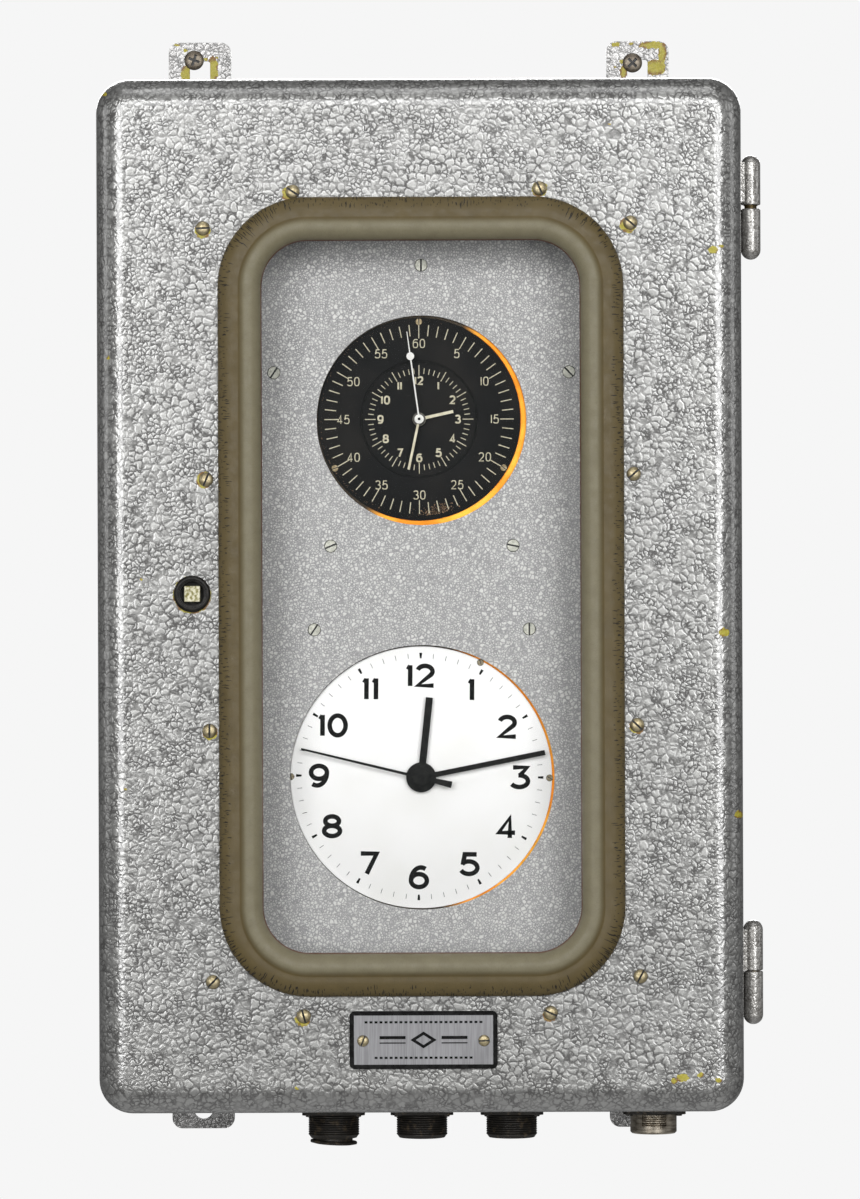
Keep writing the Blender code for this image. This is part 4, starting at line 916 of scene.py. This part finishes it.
def make_nameplate():
    """Blank-faced plate with a painted border. Rules and a lozenge stand where lettering would."""
    low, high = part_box("nameplate")
    middle, width, height = seen_box("nameplate")
    face = low.y + 0.1 * MM
    paint = face + 0.02 * MM
    border = 2.2 * MM
    outline = rounded_rectangle(width, height, 2.6 * MM, 8, middle)
    window = rectangle(width - 2 * border, height - 2 * border, middle)
    add_piece(slab(outline, (), face, high.y), "nameplate_base", LOOKS["plate"], "door", ["nameplate"],
              bevel=0.2 * MM)
    add_piece(slab(outline, (window,), low.y, paint), "nameplate_border", LOOKS["black_paint"], "door",
              bevel=0.03 * MM)

    marks = []                          # x and z from the plate's middle, width and height, in mm
    for rise, count in ((8.9, 24), (-8.9, 20)):
        marks += [((step - (count - 1) / 2) * 2.5, rise, 1.5, 1.1) for step in range(count)]
    for side in (-15.5, 15.5):
        marks += [(side, 1.2, 13, 1.6), (side, -1.5, 13, 0.6)]
    bm = bmesh.new()
    for x, z, wide, tall in marks:
        mark = rectangle(wide * MM, tall * MM, (middle[0] + x * MM, middle[1] + z * MM))
        prism(bm, mark, (), low.y + 0.06 * MM, paint)
    diamond, hollow = (oval(*middle, wide * MM, tall * MM, 0, 270, 3)
                       for wide, tall in ((6.6, 4.2), (3.9, 2.5)))
    prism(bm, diamond, (hollow,), low.y + 0.06 * MM, paint)
    add_piece(bm, "nameplate_rules", LOOKS["black_paint"], "door")
    head = screw_head(2.9 * MM, 1.3 * MM, "plate_screw_metal", *SCREW_BRASS)
    for name, x, degrees in (("left", -30.3, -68), ("right", 30.3, -3)):
        spot = (middle[0] + x * MM, low.y, middle[1] - 0.4 * MM)
        place_screw(head, f"nameplate_screw_{name}", spot, degrees, "door")


def make_hinges():
    """Two knuckles round a pin, 2 mm apart at the upper hinge and 0.5 mm at the lower."""
    radius = KNUCKLE_RADIUS
    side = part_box("case_shell")[1].x + 0.1 * MM
    for where, gap in (("upper", 2 * MM), ("lower", 0.5 * MM)):
        base, knuckle = f"hinge_{where}_base", f"hinge_{where}_knuckle"
        low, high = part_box(base)
        door_low, door_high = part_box(knuckle)
        joint = door_low.z
        pin = [(0, low.z + 4 * MM), (PIN_RADIUS, low.z + 4 * MM), (PIN_RADIUS, joint - 0.6 * MM),
               (PIN_RADIUS + 0.5 * MM, joint - 0.5 * MM), (PIN_RADIUS + 0.5 * MM, joint - 0.2 * MM),
               (PIN_RADIUS, joint), (PIN_RADIUS, joint + 13 * MM), (0, joint + 14 * MM)]
        add_piece(turned(pin, 40, HINGE_AXIS, "Z"), f"hinge_{where}_pin", LOOKS["dark_brass"], "cabinet")

        top = joint - gap
        profile = dome(radius, low.z, -1)
        profile += [(radius, top - 0.4 * MM), (radius - 0.4 * MM, top), (0, top)]
        make_knuckle(base, "cabinet", profile, side, high.y, 1 * MM, low.z + 4.5 * MM, top - 0.8 * MM)

        bore = PIN_RADIUS + 0.3 * MM
        profile = [(0, joint + 1 * MM), (bore, joint + 1 * MM), (bore, joint),
                   (radius - 0.4 * MM, joint), (radius, joint + 0.4 * MM)]
        profile += reversed(dome(radius, door_high.z, 1))
        make_knuckle(knuckle, "door", profile, side, door_low.y, -1 * MM, joint + 0.8 * MM,
                     door_high.z - 4.5 * MM)


def make_knuckle(node, body, profile, side, far, reach, bottom, top):
    """Barrel of a hinge half and the leaf that welds it to the side of its shell."""
    x, y = HINGE_AXIS
    near = y + reach
    leaf = [(side, near), (side, far), (side + 2 * MM, far), (side + 2 * MM, near + 3 * reach),
            (x - 3.6 * MM, near)]
    bm = turned(profile, 48, HINGE_AXIS, "Z")
    prism(bm, leaf, (), bottom, top, "Z")
    add_piece(bm, f"{node}_shape", LOOKS["hinge"], body, [node])


# ---------------- dial panel

def make_panel():
    low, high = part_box("dial_panel")
    middle, width, height = seen_box("dial_panel")
    holes = [circle(*CHRONO_HOLE, 120), circle(*SLAVE_HOLE, 140)]
    add_piece(slab(rounded_rectangle(width, height, 6 * MM, 8, middle), holes, low.y, high.y),
              "panel_sheet", LOOKS["panel"], "cabinet", ["dial_panel"],
              bevel=0.35 * MM)
    head = screw_head(3.3 * MM, 0.5 * MM, "panel_screw_metal", colour(150, 151, 142),
                      colour(176, 176, 166), flat=True)
    rings = (("upper", CHRONO_HOLE, 78.6 * MM, 90), ("lower", SLAVE_HOLE, 92.7 * MM, 54))
    for name, (x, z, _), radius, first in rings:
        for index in range(5):
            angle = math.radians(first + 72 * index)
            spot = (x + radius * math.cos(angle), low.y, z + radius * math.sin(angle))
            place_screw(head, f"panel_screw_{name}_{index + 1}", spot, 90 + 34 * index, "cabinet")


def gilt_ring(prefix, hub, lit_clock_angle, reach):
    """Gilding shown gold on the side toward the given clock angle, with painted shade in dark brown on
    the other side.
    """
    look = Look(f"{prefix}_gilt", 0.75)
    toward = look.vector("NORMALIZE", look.vector("SUBTRACT", look.position, hub))
    way = (math.sin(math.radians(lit_clock_angle)), 0, math.cos(math.radians(lit_clock_angle)))
    share = look.measure("DOT_PRODUCT", toward, way)
    lit_side = look.between(share, reach - 0.12, reach + 0.12)
    patches = look.between(look.noise(45), 0.35, 0.65)
    gold = look.blend(patches, colour(250, 178, 62), colour(232, 142, 34))
    # Painted light and shade: gold where the ring faces the given clock angle, dark brown for the shaded
    # side.
    look.paint(look.blend(lit_side, colour(58, 50, 40), gold))
    look.rough(look.between(look.noise(100), 0.3, 0.7, 0.28, 0.42))
    look.bump(look.noise(400), 0.03 * MM)
    return look.material


def make_ring(prefix, lit_clock_angle, reach):
    node = f"{prefix}_ring"
    low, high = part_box(node)
    middle, width, _ = seen_box(node)
    hub = centre(f"{prefix}_dial")
    opening = seen_box(f"{prefix}_dial")[1] / 2 + 0.4 * MM
    seat = low.y + SEAT_DEPTH
    bm = slab(circle(*middle, width / 2, 96), (circle(hub.x, hub.z, opening, 160),), low.y,
              low.y + RING_FLANGE)
    lathe(bm, [(opening, seat), (opening - 3.4 * MM, seat), (opening - 3.4 * MM, high.y),
               (opening + 4.6 * MM, high.y), (opening + 4.6 * MM, seat)], 96, (hub.x, hub.z))
    add_piece(bm, f"{prefix}_gilt_ring", gilt_ring(prefix, hub, lit_clock_angle, reach), "cabinet", [node])


# ---------------- printing on the dials

def ribbon(bm, points, width, face, closed=False):
    """A painted line of constant width, as a thin raised band on a face at `face`."""
    if closed:
        points = points[:-1]
    count = len(points)
    sides = []
    for index, point in enumerate(points):
        before = Vector(points[index - 1] if closed or index else point)
        after = Vector(points[(index + 1) % count] if closed or index + 1 < count else point)
        here = Vector(point)
        ways = [way.normalized() for way in (here - before, after - here) if way.length > 0]
        normals = [Vector((-way.y, way.x)) for way in ways]
        normal = (normals[0] + normals[-1]).normalized()
        reach = width / 2 / max(normal.dot(normals[0]), 0.6)
        sides.append((here + normal * reach, here - normal * reach))
    band(bm, sides, face, closed)


def band(bm, sides, face, closed=False):
    """Raised strip between pairs of points."""
    rows = []
    for left, right in sides:
        rows.append([bm.verts.new((spot[0], y, spot[1])) for spot, y in (
            (left, face), (left, face - PRINT_HEIGHT), (right, face - PRINT_HEIGHT), (right, face))])
    pairs = list(zip(rows, rows[1:]))
    if closed:
        pairs.append((rows[-1], rows[0]))
    for first, second in pairs:
        for index in range(3):
            bm.faces.new((first[index], first[index + 1], second[index + 1], second[index]))
    if not closed:
        bm.faces.new(rows[0])
        bm.faces.new(list(reversed(rows[-1])))


def strokes(digit, power, plain):
    """Centre lines of a digit in a unit square. The plain style has a bare 1 and a round-topped 3."""
    if digit == "0":
        return [oval(0.5, 0.5, 0.5, 0.5, 0, 360, 40, power)]
    if digit == "1":
        return [[(1, 1), (1, 0)]] if plain else [[(0, 0.8), (1, 1)], [(1, 1.03), (1, -0.03)]]
    if digit == "2":
        return [oval(0.48, 0.72, 0.47, 0.28, 165, -38, 20, power) + [(0.02, 0), (1.03, 0)]]
    if digit == "3" and plain:
        return [oval(0.48, 0.76, 0.44, 0.24, 160, -90, 20, power),
                oval(0.5, 0.26, 0.5, 0.26, 90, -160, 20, power)]
    if digit == "3":
        return [[(0.02, 1), (0.9, 1), (0.44, 0.58)], oval(0.42, 0.3, 0.55, 0.3, 96, -150, 20, power)]
    if digit == "4":
        return [[(0.7, -0.03), (0.7, 1), (0, 0.24), (1.03, 0.24)]]
    if digit == "5":
        return [[(0.95, 1), (0.2, 1), (0.08, 0.46)], oval(0.46, 0.32, 0.54, 0.32, 142, -155, 20, power)]
    if digit == "6":
        stem = oval(0.62, 0.33, 0.62, 0.67, 62, 180, 14, power)
        return [stem, oval(0.5, 0.33, 0.5, 0.33, 0, 360, 32, power)]
    if digit == "7":
        return [[(0, 1), (1, 1), (0.38, -0.03)]]
    if digit == "8":
        return [oval(0.5, 0.76, 0.43, 0.24, 0, 360, 32, power),
                oval(0.5, 0.26, 0.5, 0.26, 0, 360, 32, power)]
    return [[(1 - u, 1 - v) for u, v in line] for line in strokes("6", power, plain)]


def print_number(bm, text, middle, face, height, digit_width, stroke, gap, turn=0.0, power=1.0,
                 plain=False):
    """Digits side by side, centred on `middle`."""
    one = stroke if plain else 0.34 * digit_width
    widths = [one if digit == "1" else digit_width for digit in text]
    left = -(sum(widths) + gap * (len(text) - 1)) / 2
    spin = Matrix.Rotation(turn, 2)
    for digit, width in zip(text, widths):
        reach = max(width - stroke, 0)
        for layer, line in enumerate(strokes(digit, power, plain)):
            spots = []
            for u, v in line:
                local = Vector((left + stroke / 2 + u * reach, (v - 0.5) * (height - stroke)))
                spots.append(tuple(spin @ local + Vector(middle)))
            closed = (Vector(spots[0]) - Vector(spots[-1])).length < 1e-9
            ribbon(bm, spots, stroke, face - layer * STROKE_STEP, closed)
        left += width + gap


def print_ticks(bm, middle, face, count, skip, inner, outer, width, end_width=None, turn=0.0):
    """Radial marks, sizes in mm. Every `skip`-th place is left free for a longer one."""
    for index in range(count):
        if skip and index % skip == 0:
            continue
        angle = 2 * math.pi * index / count + turn
        way = Vector((math.sin(angle), math.cos(angle)))
        side = Vector((way.y, -way.x))
        sides = []
        for radius, across in ((inner, width), (outer, end_width or width)):
            spot = Vector(middle) + way * radius * MM
            reach = side * across * MM / 2
            sides.append((spot - reach, spot + reach))
        band(bm, sides, face)


def numbers_round(bm, middle, face, labels, radius, sizes, turn=0.0, **style):
    """Numbers from 1 o'clock on. Radius and sizes (height, digit width, stroke, gap) are in mm."""
    for index, text in enumerate(labels, 1):
        angle = 2 * math.pi * index / len(labels) + turn
        spot = (middle[0] + radius * MM * math.sin(angle), middle[1] + radius * MM * math.cos(angle))
        print_number(bm, text, spot, face, *(size * MM for size in sizes), turn=-turn, **style)


def dial_screws(prefix, face, height, first, second, places):
    """Flat heads at a dial's rim, as (clock angle, distance from the centre in mm, turn)."""
    hub = seen_box(f"{prefix}_dial")[0]
    head = screw_head(1.75 * MM, height, f"{prefix}_screw_metal", first, second, flat=True)
    for number, (degrees, far, turn) in enumerate(places, 1):
        angle = math.radians(degrees)
        spot = (hub[0] + far * MM * math.sin(angle), face, hub[1] + far * MM * math.cos(angle))
        place_screw(head, f"{prefix}_dial_screw_{number}", spot, turn, "cabinet")


def speck(bm, dice, spot, face, size):
    """Ragged flat grain on a face."""
    ring = []
    for step in range(7):
        angle = 2 * math.pi * step / 7
        reach = size * (0.5 + 0.5 * dice.random())
        ring.append((spot[0] + reach * math.cos(angle), spot[1] + reach * math.sin(angle)))
    prism(bm, ring, (), face - PRINT_HEIGHT * 0.6, face + PRINT_HEIGHT)


def make_chrono_face():
    middle, width, _ = seen_box("chrono_dial")
    low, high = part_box("chrono_dial")
    radius = width / 2
    face = low.y
    deep = face + 0.3 * MM
    groove = CHRONO_RECESS_RADIUS
    profile = [(ARBOR_HOLE, deep), (groove - 0.5 * MM, deep), (groove - 0.3 * MM, deep + 0.2 * MM),
               (groove, deep + 0.2 * MM), (groove + 0.15 * MM, face), (radius - 0.3 * MM, face),
               (radius, face + 0.2 * MM), (radius, high.y), (ARBOR_HOLE, high.y)]
    add_piece(turned(profile, 200, middle), "chrono_face", LOOKS["black_dial"], "cabinet",
              ["chrono_dial"])

    bm = bmesh.new()
    print_ticks(bm, middle, face, 60, 5, 42.3, 48, 0.48)
    print_ticks(bm, middle, face, 12, 0, 41, 48, 0.46)
    seconds = [str(5 * step) for step in range(1, 13)]
    numbers_round(bm, middle, face, seconds, 38.4, (4.6, 2.75, 0.5, 0.75), power=0.7, plain=True)
    print_ticks(bm, middle, deep, 60, 5, 23.1, 25.9, 0.4)
    print_ticks(bm, middle, deep, 12, 0, 22.1, 27.5, 0.42)
    numbers_round(bm, middle, deep, HOURS, 19.6, (4.5, 3.15, 0.88, 0.5), power=0.75, plain=True)
    add_piece(bm, "chrono_scales", LOOKS["tick_paint"], "cabinet")
    bm = bmesh.new()
    line = groove - 0.75 * MM
    ribbon(bm, oval(*middle, line, line, 0, 360, 160), 0.8 * MM, deep, True)
    add_piece(bm, "chrono_groove_line", LOOKS["black_paint"], "cabinet")

    dice = random.Random(4)
    bm = bmesh.new()
    for count, degrees, spread, far, depth, size in RUST_PATCHES:
        for _ in range(count):
            angle = math.radians(dice.gauss(degrees, spread))
            away = min(far - abs(dice.gauss(0, depth)), far) * MM
            spot = (middle[0] + away * math.sin(angle), middle[1] + away * math.cos(angle))
            speck(bm, dice, spot, face, size * (0.4 + 1.2 * dice.random()) * MM)
    add_piece(bm, "chrono_rust", LOOKS["rust"], "cabinet")
    dial_screws("chrono", face, 0.4 * MM, colour(118, 104, 78), colour(150, 138, 112),
                ((0, 49.4, 84), (120, 49.4, 40), (240, 49.4, -20)))


def make_slave_face():
    hub, width, _ = seen_box("slave_dial")
    low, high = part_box("slave_dial")
    radius = width / 2
    face = low.y
    profile = [(ARBOR_HOLE, face), (radius - 0.5 * MM, face), (radius - 0.1 * MM, face + 0.2 * MM),
               (radius, face + 0.5 * MM), (radius, high.y), (ARBOR_HOLE, high.y)]
    add_piece(turned(profile, 220, hub), "slave_face", LOOKS["white_dial"], "cabinet", ["slave_dial"])

    middle = (hub[0] - 0.7 * MM, hub[1] + 0.4 * MM)     # the print is a little off centre and askew
    turn = math.radians(0.65)
    bm = bmesh.new()
    print_ticks(bm, middle, face, 60, 5, 59.9, 62.4, 0.24, turn=turn)
    print_ticks(bm, middle, face, 12, 0, 59.9, 62.7, 0.9, 1.4, turn)
    numbers_round(bm, middle, face, HOURS, 51.1, (12.3, 10.4, 2.35, 1.3), turn)
    add_piece(bm, "slave_scale", LOOKS["black_paint"], "cabinet")
    dial_screws("slave", face, 0.26 * MM, colour(104, 96, 78), colour(136, 128, 108),
                ((27.5, 65.5, 70), (90.5, 65.1, 30), (270.5, 66, 80)))


def make_hubs():
    """Turned bosses on the hands, each riding on its own hand's body. Sizes are in mm."""
    bosses = (                                      # radius, thickness and soft edge
        # The chrono hour and minute bosses carry painted shade in their dark grey colour.
        ("chrono", "hour", 3.35, 0.5, 0.10, "shaded_boss_metal"),
        ("chrono", "minute", 2.65, 0.5, 0.10, "shaded_boss_metal"),
        ("chrono", "seconds", 2.35, 0.5, 0.15, "white_paint"),
        ("slave", "hour", 7.6, 1.1, 0.35, "hand_black"),
        ("slave", "minute", 6.6, 1.1, 0.35, "hand_black"),
        ("slave", "seconds", 4.5, 0.7, 0.3, "hand_black"),
    )
    for prefix, part, radius, thick, edge, look in bosses:
        face = hand_front(f"{prefix}_{part}_hand") - 0.05 * MM
        back = face + thick * MM
        outer, soft = radius * MM, edge * MM
        bore = min(2.25 * MM if part == "hour" else 1.35 * MM, outer * 0.5)
        profile = [(bore, face), (outer - soft, face), (outer - 0.3 * soft, face + 0.3 * soft),
                   (outer, face + soft), (outer, back), (bore, back)]
        add_piece(turned(profile, 72, seen_box(f"{prefix}_dial")[0]), f"{prefix}_{part}_boss",
                  LOOKS[look], f"{prefix}_{part}")
    for prefix, radius, look in (("chrono", 0.8, "black_paint"), ("slave", 1.6, "hand_black")):
        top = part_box(f"{prefix}_seconds_hand")[0].y - 0.05 * MM
        outer = radius * MM
        profile = [(0, top), (0.6 * outer, top + 0.01 * MM), (outer, top + 0.06 * MM),
                   (outer, top + 0.2 * MM), (0, top + 0.2 * MM)]
        add_piece(turned(profile, 48, seen_box(f"{prefix}_dial")[0]), f"{prefix}_seconds_cap",
                  LOOKS[look], f"{prefix}_seconds")


def hand_front(node):
    """Front face of a hand's blade. A seconds hand's cap stands 0.8 mm further out."""
    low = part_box(node)[0].y
    return low + 0.8 * MM if "seconds" in node else low


# ---------------- CAD nodes that stay as they are

def dress_nodes():
    """Each carried-over node gets the look of its kind."""
    kinds = {
        "black_rubber": ["door_seal"],
        "steel": ["latch_catch", "chassis_bracket_top", "chassis_bracket_bottom", "chrono_motor",
                  "slave_motor", "window_clamp_frame", "lock_nut", "lock_cam"],
        "brass": ["chrono_plate", "slave_plate", "chrono_minute_wheel", "slave_minute_wheel"],
        "aluminium": ["chrono_can", "slave_can", "oscillator"],
        "circuit_board": ["circuit_board"],
        "battery_wrap": ["battery_pack"],
        "bakelite": ["terminal_block"],
        "glass": ["window_pane"],
        "cream_paint": ["chrono_hour_hand", "chrono_minute_hand"],
        "white_paint": ["chrono_seconds_hand"],
        "hand_black": ["slave_hour_hand", "slave_minute_hand", "slave_seconds_hand"],
    }
    for look, nodes in kinds.items():
        for node in nodes:
            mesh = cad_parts[node].data
            for slot in range(len(mesh.materials)):
                mesh.materials[slot] = LOOKS[look]


# ---------------- studio

def add_light(name, size, place, target, power):
    lamp = bpy.data.lights.new(name, "AREA")
    lamp.shape = "RECTANGLE"
    lamp.size, lamp.size_y = size
    lamp.energy = power
    lamp.spread = math.radians(110)
    light = bpy.data.objects.new(name, lamp)
    light.location = place
    light.rotation_euler = (Vector(target) - Vector(place)).to_track_quat("-Z", "Y").to_euler()
    light.visible_camera = False
    link(light)


def make_lights():
    middle = (0, -0.1, 0)
    for side, name in ((-1, "left"), (1, "right")):
        azimuth = math.radians(side * 21)
        place = (2.9 * math.sin(azimuth), -2.9 * math.cos(azimuth), 0.4)
        add_light(f"softbox_{name}", (1.1, 1.7), place, middle, 13.3)
        add_light(f"{name}_fill", (1.0, 1.6), (side * 2.8, -0.5, 0.5), middle, 2.5)
    add_light("front_fill", (1.8, 1.2), (0, -3.6, 1.25), middle, 10.3)
    add_light("top_fill", (2.0, 1.2), (0, -1.2, 2.6), middle, 5.2)
    add_light("back_fill", (2.0, 1.4), (0, 2.6, 1.2), middle, 18)


def make_world():
    """Pale to the camera and dim to everything else, so that the lights alone shape the object."""
    world = bpy.data.worlds.new("studio")
    bpy.context.scene.world = world
    world.use_nodes = True
    tree = world.node_tree
    shade = tree.nodes["Background"]
    shade.inputs["Strength"].default_value = 1.0
    path = tree.nodes.new("ShaderNodeLightPath")
    choice = tree.nodes.new("ShaderNodeMix")
    choice.data_type = "RGBA"
    choice.inputs[6].default_value = (0.15, 0.15, 0.15, 1.0)
    choice.inputs[7].default_value = colour(246, 246, 246)
    tree.links.new(path.outputs["Is Camera Ray"], choice.inputs[0])
    tree.links.new(choice.outputs[2], shade.inputs["Color"])


def make_floor():
    bm = bmesh.new()
    bmesh.ops.create_circle(bm, cap_ends=True, segments=96, radius=2.4,
                            matrix=Matrix.Translation((0, 0, CAD_BOX[0][2] - FLOOR_DROP)))
    mesh = bpy.data.meshes.new("floor")
    bm.to_mesh(mesh)
    bm.free()
    mesh.materials.append(mottled("floor_paint", colour(238, 238, 238), colour(234, 234, 234), 3))
    floor = bpy.data.objects.new("floor", mesh)
    link(floor)


def make_camera():
    lens = bpy.data.cameras.new("camera")
    lens.lens = LENS
    lens.sensor_width = 36
    camera = bpy.data.objects.new("camera", lens)
    camera.location = CAMERA_PLACE
    camera.rotation_euler = (math.pi / 2, CAMERA_ROLL, 0)
    link(camera)
    bpy.context.scene.camera = camera
    bpy.context.scene.view_settings.view_transform = "Standard"


def main():
    dress_nodes()
    make_case()
    make_straps()
    make_connectors()
    make_dust_plug()
    make_door()
    make_gasket()
    make_door_screws()
    make_lock()
    make_nameplate()
    make_hinges()
    make_panel()
    # The clock angle and reach set which side of each gilt ring is painted lit and which painted shaded.
    make_ring("chrono", 118, 0.05)
    make_ring("slave", 92, 0.3)
    make_chrono_face()
    make_slave_face()
    make_hubs()
    make_lights()
    make_world()
    make_floor()
    make_camera()


main()
